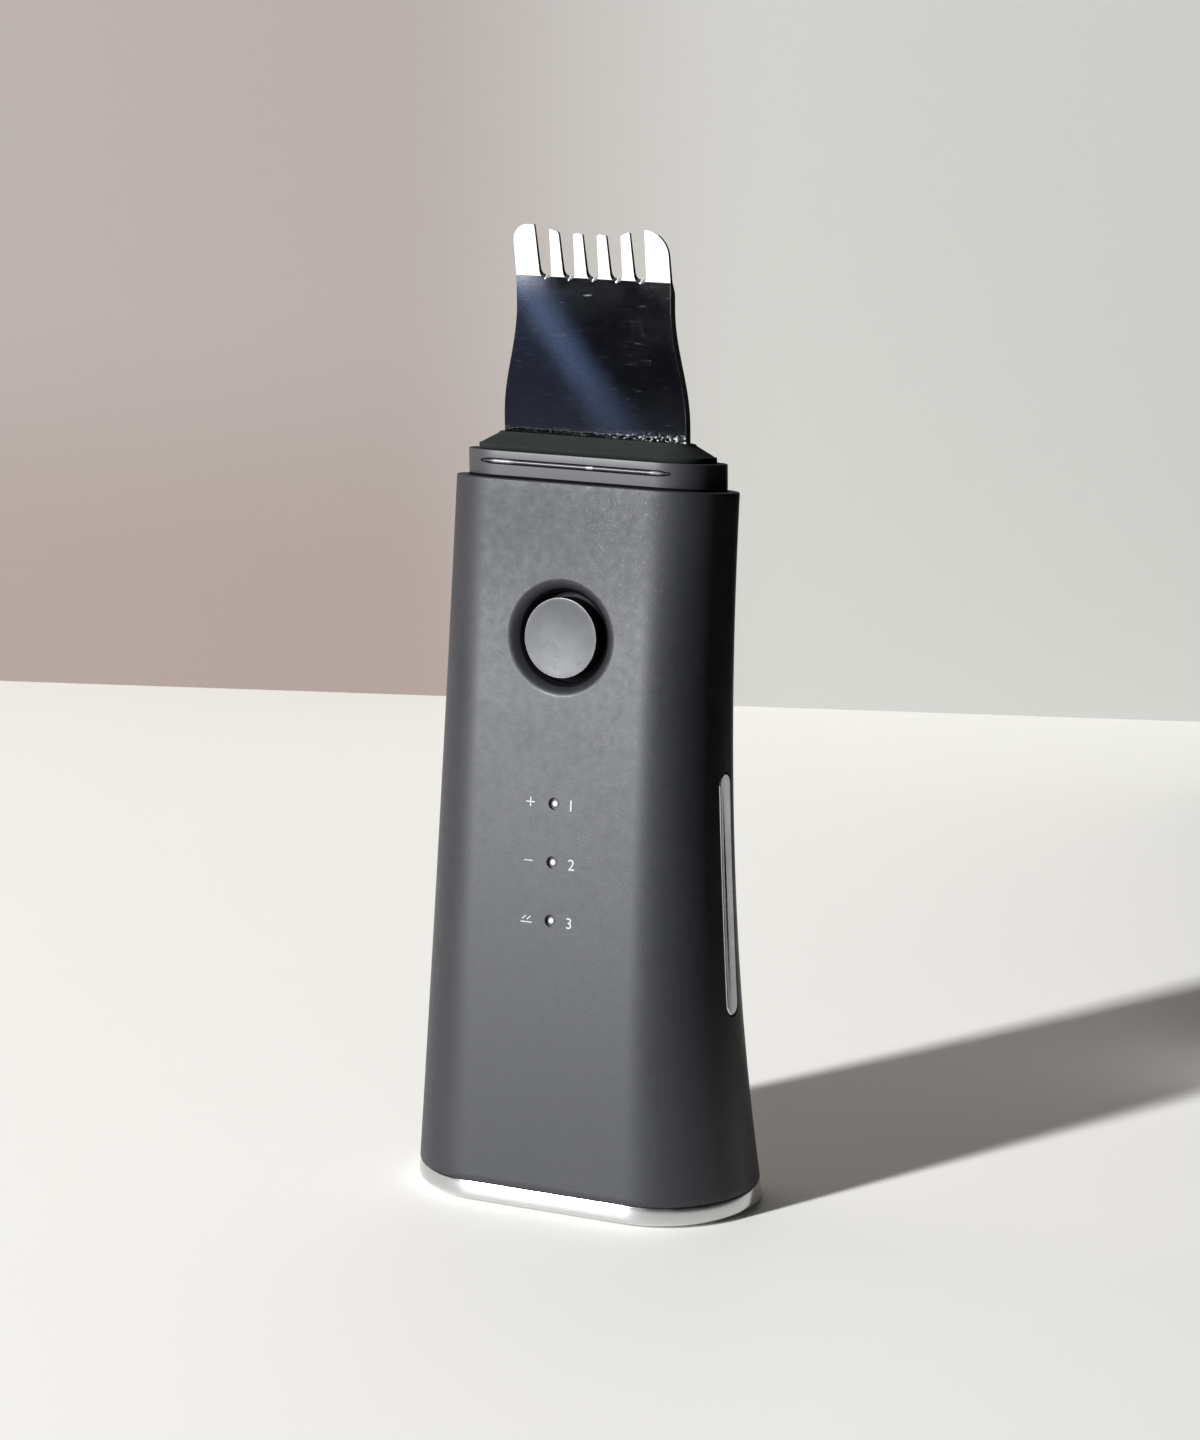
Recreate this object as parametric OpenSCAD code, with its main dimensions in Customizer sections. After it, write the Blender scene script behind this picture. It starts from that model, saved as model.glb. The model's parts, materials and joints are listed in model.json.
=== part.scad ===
// Ultrasonic skin scrubber: slotted steel blade on a curved one-piece handle with a flat base.

/* [Body] */
// Height from the floor to the tips of the blade
total_h = 155; // [150:0.5:160]
// Height of the sleeve's upper rim above the floor
sleeve_top = 115.4; // [115:0.2:116]
// Half of the flat part of the body's width, the same at every height
flat_half = 13.7; // [13.2:0.1:14.2]
// End radius of the body at the floor
r_foot = 15.7; // [15.4:0.1:16]
// End radius of the body at one third of the sleeve's height
r_low = 12.45; // [12.3:0.05:12.6]
// End radius of the body at two thirds of the sleeve's height
r_high = 10.65; // [10.5:0.05:10.8]
// End radius of the body at the sleeve's rim
r_rim = 10.1; // [9.9:0.05:10.3]
// Backward shift of the body's middle at one third of the height
bow_low = -0.75; // [-0.9:0.05:-0.6]
// Backward shift of the body's middle at two thirds of the height
bow_high = 1.25; // [1.1:0.05:1.4]
// Backward shift of the body's middle at the rim
bow_rim = 5.4; // [5.3:0.05:5.5]
// Backward tilt of the sleeve's rim and of the neck's top faces
rim_tilt = 8; // [7:0.5:9]
// Wall of the sleeve
wall = 1.8; // [1.6:0.1:1.9]

/* [Base] */
// Height of the bright base ring
ring_h = 3.6; // [3.4:0.1:3.8]
// Chamfer under the base ring
ring_chamfer = 0.8; // [0.5:0.1:1]
// Clearance between the floor and the base ring
ring_lift = 0.3; // [0.2:0.05:0.4]
// Thickness of the rubber foot pad
foot_t = 1.1; // [0.9:0.1:1.3]

/* [Neck] */
// End radius of the neck collar
collar_r = 8.15; // [8:0.05:8.25]
// Height that the collar stands above the sleeve
collar_rise = 4.3; // [4:0.1:4.6]
// End radius of the silicone boot's lip
boot_r = 6.5; // [6.3:0.1:6.7]
// Height of the boot's lip
boot_lip = 1; // [0.8:0.1:1.2]
// Rise of the boot's slope to the blade
boot_rise = 1.9; // [1.6:0.1:2.2]

/* [Blade] */
// Thickness of the blade
blade_t = 1.6; // [1.4:0.1:1.8]
// Thickness of the blade at its tips
tip_t = 0.5; // [0.4:0.1:0.7]
// Width of the blade where the tines start
blade_w = 27; // [26.5:0.1:27.5]
// Width of the blade at the boot
root_w = 32; // [31.5:0.1:32.5]
// Length of the tines, measured along the handle
tine_l = 8.2; // [7.8:0.1:8.6]
// Forward lean of the tips
tip_lean = 1.15; // [0.8:0.05:1.4]
// Number of slots
slots = 5; // [3:2:5]
// Spacing of the slots
slot_pitch = 4.15; // [4:0.05:4.3]
// Width of a slot at its round end
slot_w = 2.1; // [1.9:0.1:2.3]
// Widening of a slot on each side towards the tips
slot_flare = 0.25; // [0.1:0.05:0.35]
// Corner radius of the outer tine on the left
lobe_left = 2.8; // [2.4:0.1:3.4]
// Corner radius of the outer tine on the right
lobe_right = 4; // [3.4:0.1:4]

/* [Controls] */
// Height of the button's centre
button_z = 92.1; // [91.5:0.1:92.7]
// Diameter of the button
button_d = 12.6; // [12:0.1:13]
// Diameter of the dish around the button
dish_d = 18.2; // [17.6:0.1:18.8]
// Travel of the button
button_travel = 0.5; // [0.3:0.1:0.6]
// Height of the top lamp
lamp_z = 66.1; // [65.5:0.1:66.7]
// Spacing of the three lamps
lamp_pitch = 9.28; // [9:0.01:9.5]
// Diameter of the recess around a lamp
lamp_d = 1.8; // [1.6:0.1:2]
// Diameter of a light pipe
pipe_d = 1.2; // [1:0.1:1.4]
// Width of a side electrode
strip_w = 3.6; // [3.3:0.1:3.9]
// Height of a side electrode's lower end
strip_low = 32.5; // [32:0.1:33]
// Height of a side electrode's upper end
strip_high = 71.1; // [70.6:0.1:71.6]

/* [Electrics] */
// Width of the battery cell
cell_w = 33; // [30:0.5:33]
// Length of the battery cell
cell_l = 50; // [44:1:52]
// Thickness of the battery cell
cell_t = 6.4; // [5:0.1:7]
// Width of the circuit board
board_w = 32; // [30:0.5:32]
// Thickness of the circuit boards
board_t = 1; // [0.8:0.1:1.2]

/* [Hidden] */
$fn = 48;

eps = 0.01;
// Small edge rounding, and the length of a cut that runs out past the part
fine = 0.4;
past = 20;
// Facets of a round end and levels of the sleeve's skin
end_steps = 16;
sleeve_steps = 19;
// Lamps in the column, and how far each pipe lies below the face
lamps = 3;
lamp_sink = 0.5;

// Heights that follow from the sizes above
collar_top = sleeve_top + collar_rise;
boot_top = collar_top + boot_lip + boot_rise;
bend_z = total_h - tine_l;
neck_y = bow_rim;
blade_y = bow_rim - 0.1;
// Distance behind the rim's front edge at which the tilted rim has its named height
rim_hinge = 4.3;
hinge_y = bow_rim - r_rim + rim_hinge;
function rim_drop(y) = (y - hinge_y) * tan(rim_tilt);

// Smooth curve through four values at 0, 1/3, 2/3 and 1 of the sleeve's height
function curve(a, b, c, d, t) =
    -4.5 * a * (t - 1 / 3) * (t - 2 / 3) * (t - 1)
    + 13.5 * b * t * (t - 2 / 3) * (t - 1)
    - 13.5 * c * t * (t - 1 / 3) * (t - 1)
    + 4.5 * d * t * (t - 1 / 3) * (t - 2 / 3);
function body_r(z) = curve(r_foot, r_low, r_high, r_rim, z / sleeve_top);
function body_y(z) = curve(0, bow_low, bow_high, bow_rim, z / sleeve_top);
function face_y(z) = body_y(z) - body_r(z);

// The boards and the button share one lean, the lean of the front face at the button
lean = atan((face_y(button_z + 1) - face_y(button_z - 1)) / 2);

// Depth of a surface point behind the button's plane, along the common lean
function face_sag(z) =
    (face_y(z) - face_y(button_z)) * cos(lean) - (z - button_z) * sin(lean);
// Distance up the common plane from the button to a surface point
function face_up(z) =
    (z - button_z) * cos(lean) + (face_y(z) - face_y(button_z)) * sin(lean);

// Outline with two round ends, drawn about the middle of the body
function ends(half, r, y, n) = [
    for (i = [0 : n]) [half + r * cos(-90 + 180 * i / n), y + r * sin(-90 + 180 * i / n)],
    for (i = [0 : n]) [-half + r * cos(90 + 180 * i / n), y + r * sin(90 + 180 * i / n)]
];

// Outline given as [height, radius, shift], with the rim's tilt where a fourth value is 1
function row(l, n) = [
    for (p = ends(flat_half, l[1], l[2], n)) [p[0], p[1], l[0] - (len(l) > 3 ? l[3] * rim_drop(p[1]) : 0)]
];

// Outline where the body's surface, moved inwards, meets the plane of the tilted rim
function rim_row(h, inset, n) = [
    for (i = [0 : 2 * n + 1])
        let (
            y = ends(flat_half, body_r(h), body_y(h), n)[i][1],
            z = h - rim_drop(y),
            p = ends(flat_half, body_r(z) - inset, body_y(z), n)[i]
        )
        [p[0], p[1], h - rim_drop(p[1])]
];

// Closed skin over a stack of outlines
module skin(levels, n) {
    loft([for (l = levels) row(l, n)]);
}

module loft(rows) {
    per = len(rows[0]);
    count = len(rows);
    points = [for (r = rows) each r];
    sides = [
        for (k = [0 : count - 2]) for (i = [0 : per - 1])
            [k * per + i, (k + 1) * per + i, (k + 1) * per + (i + 1) % per, k * per + (i + 1) % per]
    ];
    floor_face = [for (i = [0 : per - 1]) i];
    roof_face = [for (i = [0 : per - 1]) count * per - 1 - i];
    polyhedron(points, concat(sides, [floor_face], [roof_face]), convexity = 6);
}

// Flat plate with two round ends
module obround(half, r, h) {
    linear_extrude(h) {
        translate([half, 0]) circle(r);
        translate([-half, 0]) circle(r);
        translate([-half, -r]) square([2 * half, 2 * r]);
    }
}

module box(size) {
    translate([-size[0] / 2, -size[1] / 2, 0]) cube(size);
}

// Local frames: x to the right, y up the face, z out of the face
module at_button() {
    translate([0, face_y(button_z), button_z]) rotate([90 - lean, 0, 0]) children();
}

module at_face(z) {
    translate([0, face_y(z), z]) rotate([90 - lean, 0, 0]) children();
}

// Screw with its head at z = 0 upward and its shank downward
module screw(d, l, head_d, head_h) {
    difference() {
        union() {
            cylinder(h = head_h, d = head_d);
            translate([0, 0, -l]) cylinder(h = l + eps, d = d);
        }
        for (a = [0, 90]) {
            rotate(a) translate([0, 0, head_h * 0.45]) box([head_d * 0.62, head_d * 0.16, head_h]);
        }
    }
}

// Round wire along a list of points
module wire(points, d) {
    for (i = [0 : len(points) - 2]) {
        a = points[i];
        b = points[i + 1];
        v = b - a;
        l = norm(v);
        translate(a) rotate([0, acos(v[2] / l), atan2(v[1], v[0])]) cylinder(h = l, d = d, $fn = 10);
    }
    for (i = [1 : len(points) - 2]) {
        translate(points[i]) sphere(d = d, $fn = 10);
    }
}

// Point given in the button's frame, turned into the part's frame
function spot(x, up, out) = [
    x,
    face_y(button_z) + up * sin(lean) - out * cos(lean),
    button_z + up * cos(lean) + out * sin(lean)
];

// Depths behind the face at the button
button_r = button_d / 2;
button_proud = 0.1;
dish_depth = 1.5;
dish_gap = 1;
shaft_r = button_r + dish_gap;
guide_depth = 3.2;
guide_wall = 2.2;
flange_gap = 0.05;
flange_t = 0.8;
flange_r = shaft_r + 1.3;
cap_t = 0.5;
peg_r = 4;
peg_t = 0.6;
stem_r = 1.8;
plunger_r = 1.25;
plunger_seat = 0.45;
board_depth = 6.6;
board_back = board_depth + board_t;
board_stand = 0.6;
plate_depth = board_back + board_stand;
plate_t = 1.4;
plate_back = plate_depth + plate_t;
case_w = 5.2;
case_h = 1.5;
case_top = board_depth - case_h;
plunger_top = case_top - button_travel - 0.1;
chip_h = 0.7;

// Sizes of the board; heights are measured up the face from the button
board_low = -64;
board_high = 5.5;
fix_edge = 2.5;
fix_x = board_w / 2 - fix_edge;
fix_low = board_low + 3;
fix_high = board_high - 3;
fix_d = 1.6;
fix_head = 3;
thread_play = 0.2;

// Sizes of the battery cell
cell_low = -76;
pad_t = 0.4;
cell_front = plate_back + pad_t;

// Sizes of the frame
rib_in = max(board_w, cell_w) / 2 + 0.8;
rib_t = 1.4;
rib_back = 13;
plate_low = -84;
plate_high = board_high + 2.5;
stand_d = 4.4;
foot_z = ring_h + 4.4;
foot_plate_t = 1.6;
foot_plate_in = 1.7;
boss_d = 5.4;
boss_h = 8;
base_screw_x = rib_in + rib_t + 1.8;
base_screw_y = -0.5;
base_screw_d = 2;
base_screw_l = 11;
base_head_d = 4;
base_head_h = 1.3;
seat_z = foot_t + 1.8;

// Tray and spigot of the base
tray_floor = foot_t + 1.3;
foot_inset = 2.8;
foot_play = 0.1;
spigot_play = 0.4;
spigot_wall = 1.4;
spigot_top = foot_z - 0.4;
spigot_r = body_r(spigot_top) - wall - spigot_play;
spigot_y = body_y(spigot_top);

// Sizes of the charging inlet
inlet_r = 1.63;
inlet_half = 2.84;
inlet_wall = 0.3;
inlet_l = 7.3;
inlet_play = 0.25;
plug_play = 1.5;
inlet_stand = 0.8;
inlet_board_top = foot_z + foot_plate_t + inlet_stand + board_t;
inlet_z = inlet_board_top + inlet_r;
inlet_front = body_y(inlet_z) + body_r(inlet_z) - 0.35;
inlet_rear = inlet_front - inlet_l;
inlet_board_w = 16;
inlet_board_rear = inlet_front - 2.3;
inlet_board_l = 12.2;
inlet_screw_x = inlet_board_w / 2 - 1.8;
inlet_screw_y = inlet_board_rear - inlet_board_l + 2.2;
inlet_prop_y = inlet_board_rear - 2.2;
tongue_w = 6.7;
tongue_l = 5.6;
tongue_t = 0.7;

// Heights and radii of the neck
ledge_z = sleeve_top - 3.2;
cavity_top = sleeve_top - 5.4;
collar_play = 0.25;
skirt_r = collar_r - 1.25;
throat_r = skirt_r + 0.2;
bore_r = boot_r - 1;
neck_floor = sleeve_top - 7.4;
neck_floor_t = 1.5;
neck_boss_h = 4;
neck_boss_d = 4;
neck_screw_x = flat_half + 1.9;
neck_screw_d = 1.8;
neck_screw_l = 6.4;
neck_head_d = 3.2;
tab_t = 1.6;
tab_w = 5.2;
ear_t = 1.5;
ear_z = neck_floor - tab_t - ear_t;
cushion_t = 0.6;
jaw_t = 2.6;
jaw_h = 8;
jaw_low = neck_floor - 5.5;
jaw_half = 12.4;
jaw_play = 0.4;
jaw_head_sink = 1.1;
jaw_screw_l = 6.5;
jaw_screw_z = neck_floor + 0.6;
piezo_t = 1;
piezo_w = 15;
piezo_h = 13;
piezo_low = jaw_low - piezo_h - 1;
tang_half = piezo_w / 2 + 0.5;
tang_low = piezo_low - 2.5;
jaw_screw_x = tang_half + 2.2;
shoulder_low = ledge_z + 0.4;
shoulder_top = shoulder_low + 2;
jaw_span = blade_t + 2 * cushion_t + 2 * jaw_t;
blade_front = blade_y - blade_t / 2;
blade_back = blade_y + blade_t / 2;

function lamp_height(i) = lamp_z - i * lamp_pitch;

// Stack of outlines that follows the body, moved inwards by a given amount
function body_levels(low, high, count, inset) = [
    for (i = [0 : count])
        let (z = low + (high - low) * i / count) [z, body_r(z) - inset, body_y(z)]
];

// Frame of a side electrode, tilted to follow the body's middle line
strip_l = strip_high - strip_low;
strip_mid = (strip_high + strip_low) / 2;
strip_tilt = atan((body_y(strip_high) - body_y(strip_low)) / strip_l);
strip_t = 0.9;
strip_play = 0.25;
strip_steps = 16;
post_z = [40, 64];
post_d = 2;
post_stub = 0.8;
contact_t = 0.3;
contact_w = 3;
contact_drop = 6.2;
contact_land = 1.5;
contact_inset = 2.36;
contact_x = flat_half + body_r(post_z[1]) - wall - contact_inset;
strip_sink = 0.05;
groove_deep = 0.03;

module strip_shape(side, w, l, face_in, back_in) {
    far = l / 2 + 1;
    rows = [for (i = [0 : strip_steps]) -far + 2 * far * i / strip_steps];
    outer = [
        for (s = rows) [side * (flat_half + body_r(strip_mid + s) - face_in), s]
    ];
    inner = [
        for (i = [0 : strip_steps])
            let (s = rows[strip_steps - i]) [side * (flat_half + body_r(strip_mid + s) - back_in), s]
    ];
    translate([0, body_y(strip_mid), strip_mid]) rotate([-strip_tilt, 0, 0]) intersection() {
        rotate([90, 0, 0]) linear_extrude(2 * w, center = true) polygon(concat(outer, inner));
        rotate([0, side * 90, 0]) obround(l / 2 - w / 2, w / 2, flat_half + r_foot);
    }
}

module strip_posts(side, d, ends_at) {
    for (i = [0, 1]) {
        z = post_z[i];
        translate([side * ends_at[i], body_y(z), z]) rotate([0, side * 90, 0])
            cylinder(h = flat_half + body_r(z) - strip_t + 0.2 - ends_at[i], d = d);
    }
}

module electrode(side) {
    color("silver") {
        strip_shape(side, strip_w, strip_l, strip_sink, strip_t);
        strip_posts(side, post_d, [flat_half + body_r(post_z[0]) - wall - post_stub, contact_x + contact_t]);
    }
}

module housing_sleeve() {
    color([0.16, 0.17, 0.18]) difference() {
        union() {
            difference() {
                loft(concat(
                    [for (l = body_levels(ring_h, cavity_top, sleeve_steps, 0)) row(l, end_steps)],
                    [rim_row(sleeve_top - fine, 0, end_steps), rim_row(sleeve_top, 0.3, end_steps)]
                ));
                skin(body_levels(ring_h - 0.5, cavity_top, sleeve_steps, wall), end_steps);
            }
            at_button() translate([0, 0, -guide_depth])
                cylinder(h = guide_depth - wall / 2, r = shaft_r + guide_wall);
        }
        translate([0, neck_y, cavity_top - 1]) obround(flat_half, throat_r, past);
        translate([0, neck_y, ledge_z]) obround(flat_half, collar_r + collar_play, past);
        at_button() translate([0, 0, -guide_depth - 1]) cylinder(h = guide_depth + 3, r = shaft_r);
        at_button() dish_cut();
        for (i = [0 : lamps - 1]) {
            at_face(lamp_height(i)) {
                translate([0, 0, -wall - 1]) cylinder(h = wall + 3, d = pipe_d);
                translate([0, 0, -lamp_sink]) cylinder(h = 3, d = lamp_d);
            }
        }
        for (side = [-1, 1]) {
            strip_shape(side, strip_w + 2 * strip_play, strip_l + 2 * strip_play, -3, strip_t + groove_deep);
            strip_posts(side, post_d, [contact_x - 1, contact_x - 1]);
        }
        translate([0, inlet_rear + 2, inlet_z]) rotate([-90, 0, 0])
            obround(inlet_half, inlet_r + inlet_play, past);
        translate([0, inlet_front - 0.1, inlet_z]) rotate([-90, 0, 0])
            obround(inlet_half, inlet_r + plug_play, past);
    }
}

// Conical dish cut into the face around the button, with an eased edge
module dish_cut() {
    ease = 0.2;
    r = dish_d / 2;
    rotate_extrude() polygon([
        [0, -dish_depth], [shaft_r, -dish_depth], [r - ease, -ease], [r + ease, 0.05], [r + ease, 3], [0, 3]
    ]);
}

module neck_collar() {
    bead_low = collar_top - 2.1;
    bead_h = 0.8;
    bead_out = 0.3;
    bead_half = flat_half + 3;
    color([0.3, 0.31, 0.33]) difference() {
        union() {
            skin([
                [ledge_z, collar_r, neck_y],
                [collar_top - fine, collar_r, neck_y, 1],
                [collar_top, collar_r - fine, neck_y, 1]
            ], end_steps);
            translate([0, neck_y, neck_floor]) obround(flat_half, skirt_r, ledge_z - neck_floor + 0.5);
            intersection() {
                skin([for (z = [bead_low, bead_low + bead_h]) [z, collar_r + bead_out, neck_y, 1]], end_steps);
                translate([0, neck_y, sleeve_top - 1]) box([2 * bead_half, 2 * past, 2 * collar_rise]);
            }
        }
        difference() {
            translate([0, neck_y, neck_floor + neck_floor_t]) obround(flat_half, bore_r, past);
            for (side = [-1, 1]) {
                translate([side * neck_screw_x, blade_y, neck_floor])
                    cylinder(h = neck_boss_h, d = neck_boss_d);
            }
        }
        translate([0, blade_y, neck_floor - 1]) box([2 * jaw_half + 1, jaw_span + 2 * jaw_play, 3]);
        for (side = [-1, 1]) {
            translate([side * neck_screw_x, blade_y, neck_floor - 1])
                cylinder(h = neck_boss_h + 0.5, d = neck_screw_d);
        }
    }
}

module blade_boot() {
    plug_z = sleeve_top + 0.1;
    plug_in = 0.02;
    crest_r = 2.8;
    lip_z = collar_top + boot_lip;
    lip_round = 0.2;
    color([0.2, 0.22, 0.21]) difference() {
        skin([
            [plug_z, bore_r - plug_in, neck_y],
            [collar_top, bore_r - plug_in, neck_y, 1],
            [collar_top, boot_r, neck_y, 1],
            [lip_z - lip_round, boot_r, neck_y, 1],
            [lip_z, boot_r - lip_round, neck_y, 1],
            [lip_z + 0.15, boot_r - 0.6, neck_y, 1],
            [boot_top - 0.3, crest_r + 0.5, neck_y, 1],
            [boot_top, crest_r, neck_y, 1]
        ], end_steps);
        translate([0, blade_y, plug_z - 1]) box([root_w, blade_t, past]);
    }
}

// Half of the blade's width at a height, with a smooth flare to the boot
flare_top = total_h - 12.5;
flare_low = boot_top + 1.9;
function blade_half(z) =
    let (s = min(1, max(0, (flare_top - z) / (flare_top - flare_low))))
    blade_w / 2 + (root_w - blade_w) / 2 * (1 - cos(180 * s)) / 2;

// Dip of the inner tines below the outer tines, and the width over which it is reached
tip_dip = 1.15;
dip_run = 3;
// Depth that the slots reach below the bend, and their upward tilt towards the back
slot_drop = 0.35;
slot_tilt = 30;
outer_slot = (slots - 1) / 2 * slot_pitch;

module blade_outline() {
    steps = 20;
    low = boot_top;
    side_l = [
        for (i = [0 : steps])
            let (z = low + (total_h - lobe_left - low) * i / steps) [-blade_half(z), z]
    ];
    side_r = [
        for (i = [0 : steps])
            let (z = total_h - lobe_right - (total_h - lobe_right - low) * i / steps) [blade_half(z), z]
    ];
    turn_l = [
        for (a = [10 : 10 : 90])
            [-blade_w / 2 + lobe_left - lobe_left * cos(a), total_h - lobe_left + lobe_left * sin(a)]
    ];
    dip = [
        [-outer_slot, total_h], [dip_run - outer_slot, total_h - tip_dip],
        [outer_slot - dip_run, total_h - tip_dip], [outer_slot, total_h]
    ];
    turn_r = [
        for (a = [80 : -10 : 10])
            [blade_w / 2 - lobe_right + lobe_right * cos(a), total_h - lobe_right + lobe_right * sin(a)]
    ];
    polygon(concat(
        [[-tang_half, tang_low], [-tang_half, shoulder_low], [-root_w / 2, shoulder_top]],
        side_l, turn_l, dip, turn_r, side_r,
        [[root_w / 2, shoulder_top], [tang_half, shoulder_low], [tang_half, tang_low]]
    ));
}

module blade() {
    tine_root_t = 0.75;
    grind = 1.8;
    over = 1;
    lean_top = tip_lean * (tine_l + over) / tine_l;
    color([0.75, 0.77, 0.8]) difference() {
        intersection() {
            rotate([90, 0, 90]) linear_extrude(root_w + 8, center = true) polygon([
                [blade_front, tang_low - 1], [blade_back, tang_low - 1], [blade_back, bend_z - grind],
                [blade_front + tine_root_t, bend_z], [blade_front - lean_top + tip_t, total_h + over],
                [blade_front - lean_top, total_h + over], [blade_front, bend_z]
            ]);
            translate([0, past, 0]) rotate([90, 0, 0]) linear_extrude(2 * past) blade_outline();
        }
        for (i = [0 : slots - 1]) {
            translate([i * slot_pitch - outer_slot, 0, 0]) slot_cut();
        }
    }
}

module slot_cut() {
    r = slot_w / 2;
    rise = tine_l + slot_drop;
    high = rise + past;
    tip_r = r + slot_flare * high / rise;
    translate([0, blade_front, bend_z - slot_drop + r / cos(slot_tilt)]) rotate([90 + slot_tilt, 0, 0]) {
        cylinder(h = 2 * past, r = r, center = true);
        linear_extrude(2 * past, center = true) polygon([[-r, 0], [r, 0], [tip_r, high], [-tip_r, high]]);
    }
}

module jaw_screws_at() {
    for (side = [-1, 1]) {
        translate([side * jaw_screw_x, blade_front - cushion_t - jaw_t + jaw_head_sink, jaw_screw_z])
            rotate([90, 0, 0]) children();
    }
}

module clamp_front() {
    color([0.85, 0.85, 0.8]) difference() {
        translate([0, blade_front - cushion_t - jaw_t / 2, jaw_low]) box([2 * jaw_half, jaw_t, jaw_h]);
        jaw_screws_at() {
            cylinder(h = 3, d = neck_head_d + thread_play);
            translate([0, 0, -jaw_t]) cylinder(h = jaw_t + 1, d = neck_screw_d + thread_play);
        }
    }
}

module clamp_rear() {
    ear_back = blade_back + cushion_t + jaw_t;
    ear_out = rib_in - 0.1;
    arm_front = blade_front - 0.2;
    pad_front = blade_y - neck_screw_d / 2 - 1.4;
    pad_in = jaw_half + jaw_play;
    color([0.85, 0.85, 0.8]) difference() {
        union() {
            translate([0, blade_back + cushion_t + jaw_t / 2, jaw_low]) box([2 * jaw_half, jaw_t, jaw_h]);
            for (side = [-1, 1]) {
                translate([side * (jaw_half - 0.8 + ear_out) / 2, (arm_front + ear_back) / 2, ear_z])
                    box([ear_out - jaw_half + 0.8, ear_back - arm_front, ear_t]);
                translate([side * (pad_in + ear_out) / 2, (pad_front + ear_back) / 2, ear_z])
                    box([ear_out - pad_in, ear_back - pad_front, ear_t]);
            }
        }
        jaw_screws_at() translate([0, 0, -jaw_screw_l - 0.1])
            cylinder(h = jaw_screw_l + 0.1, d = neck_screw_d);
        for (side = [-1, 1]) {
            translate([side * neck_screw_x, blade_y, ear_z - 1])
                cylinder(h = ear_t + 2, d = neck_screw_d + thread_play);
        }
    }
}

module clamp_cushions() {
    color([0.9, 0.5, 0.3]) for (y = [blade_front - cushion_t / 2, blade_back + cushion_t / 2]) {
        translate([0, y, jaw_low + 0.5]) box([2 * tang_half - 0.4, cushion_t, jaw_h - 1]);
    }
}

module clamp_screws() {
    color("silver") jaw_screws_at() screw(neck_screw_d, jaw_screw_l, neck_head_d, 1);
}

module neck_screws() {
    color("silver") for (side = [-1, 1]) {
        translate([side * neck_screw_x, blade_y, ear_z]) rotate([180, 0, 0])
            screw(neck_screw_d, neck_screw_l, neck_head_d, 1.2);
    }
}

module piezo(y) {
    color([0.7, 0.72, 0.6]) translate([0, y, piezo_low]) box([piezo_w, piezo_t, piezo_h]);
}

module piezo_front() {
    piezo(blade_front - piezo_t / 2);
}

module piezo_rear() {
    piezo(blade_back + piezo_t / 2);
}

lead_d = 0.7;

module piezo_leads() {
    front = blade_front - piezo_t - lead_d / 2;
    rear = blade_back + piezo_t + lead_d / 2;
    x = piezo_w / 3;
    start = piezo_low + 2.5;
    turn = piezo_low - 3.5;
    deep = plate_back + 1.6;
    color("white") {
        wire([[x, front, start], [x, front, turn], spot(x, -14, -deep), spot(x, -14, -board_back)], lead_d);
        wire([
            [-x, rear, start], [-x, rear, turn - 0.5], [-x, front, turn - 4.5], spot(-x, -15.5, -deep),
            spot(-x, -15.5, -board_back)
        ], lead_d);
    }
}

module button_cap() {
    rim = 0.35;
    dip = 0.22;
    bevel = 0.12;
    flat_r = button_r - rim;
    color([0.62, 0.63, 0.65]) at_button() rotate_extrude() polygon(concat(
        [for (i = [0 : 6]) let (r = flat_r * i / 6) [r, button_proud - dip * (1 - pow(r / flat_r, 2))]],
        [
            [button_r - bevel, button_proud], [button_r, button_proud - bevel], [button_r, -cap_t],
            [peg_r, -cap_t], [peg_r, -cap_t - peg_t], [0, -cap_t - peg_t]
        ]
    ));
}

module button_carrier() {
    flange_top = guide_depth + flange_gap;
    color([0.06, 0.06, 0.07]) at_button() difference() {
        union() {
            translate([0, 0, -flange_top]) cylinder(h = flange_top - cap_t, r = button_r - 0.05);
            translate([0, 0, -flange_top - flange_t]) cylinder(h = flange_t, r = flange_r);
            translate([0, 0, -plunger_top]) cylinder(h = plunger_top - flange_top, r = stem_r);
        }
        translate([0, 0, -cap_t - peg_t]) cylinder(h = 2, r = peg_r);
    }
}

module switch_plunger() {
    color([0.1, 0.1, 0.1]) at_button() translate([0, 0, -case_top - plunger_seat])
        cylinder(h = case_top + plunger_seat - plunger_top, r = plunger_r);
}

module switch_case() {
    color([0.25, 0.25, 0.27]) at_button() difference() {
        translate([0, 0, -board_depth]) box([case_w, case_w, case_h]);
        translate([0, 0, -case_top - plunger_seat - button_travel - 0.05])
            cylinder(h = 5, r = plunger_r + 0.05);
    }
}

module main_board() {
    color([0.05, 0.3, 0.15]) at_button() difference() {
        translate([0, (board_low + board_high) / 2, -board_back])
            box([board_w, board_high - board_low, board_t]);
        for (x = [-fix_x, fix_x]) for (v = [fix_low, fix_high]) {
            translate([x, v, -board_back - 1]) cylinder(h = board_t + 2, d = fix_d + thread_play);
        }
    }
}

module board_screws() {
    color("silver") at_button() for (x = [-fix_x, fix_x]) for (v = [fix_low, fix_high]) {
        translate([x, v, -board_depth]) screw(fix_d, plate_back - board_depth - 0.1, fix_head, 1);
    }
}

module lamp_chips() {
    color([0.95, 0.95, 0.8]) for (i = [0 : lamps - 1]) {
        z = lamp_height(i);
        at_face(z) translate([0, 0, face_sag(z) - board_depth]) box([1.6, 1, chip_h]);
    }
}

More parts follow.
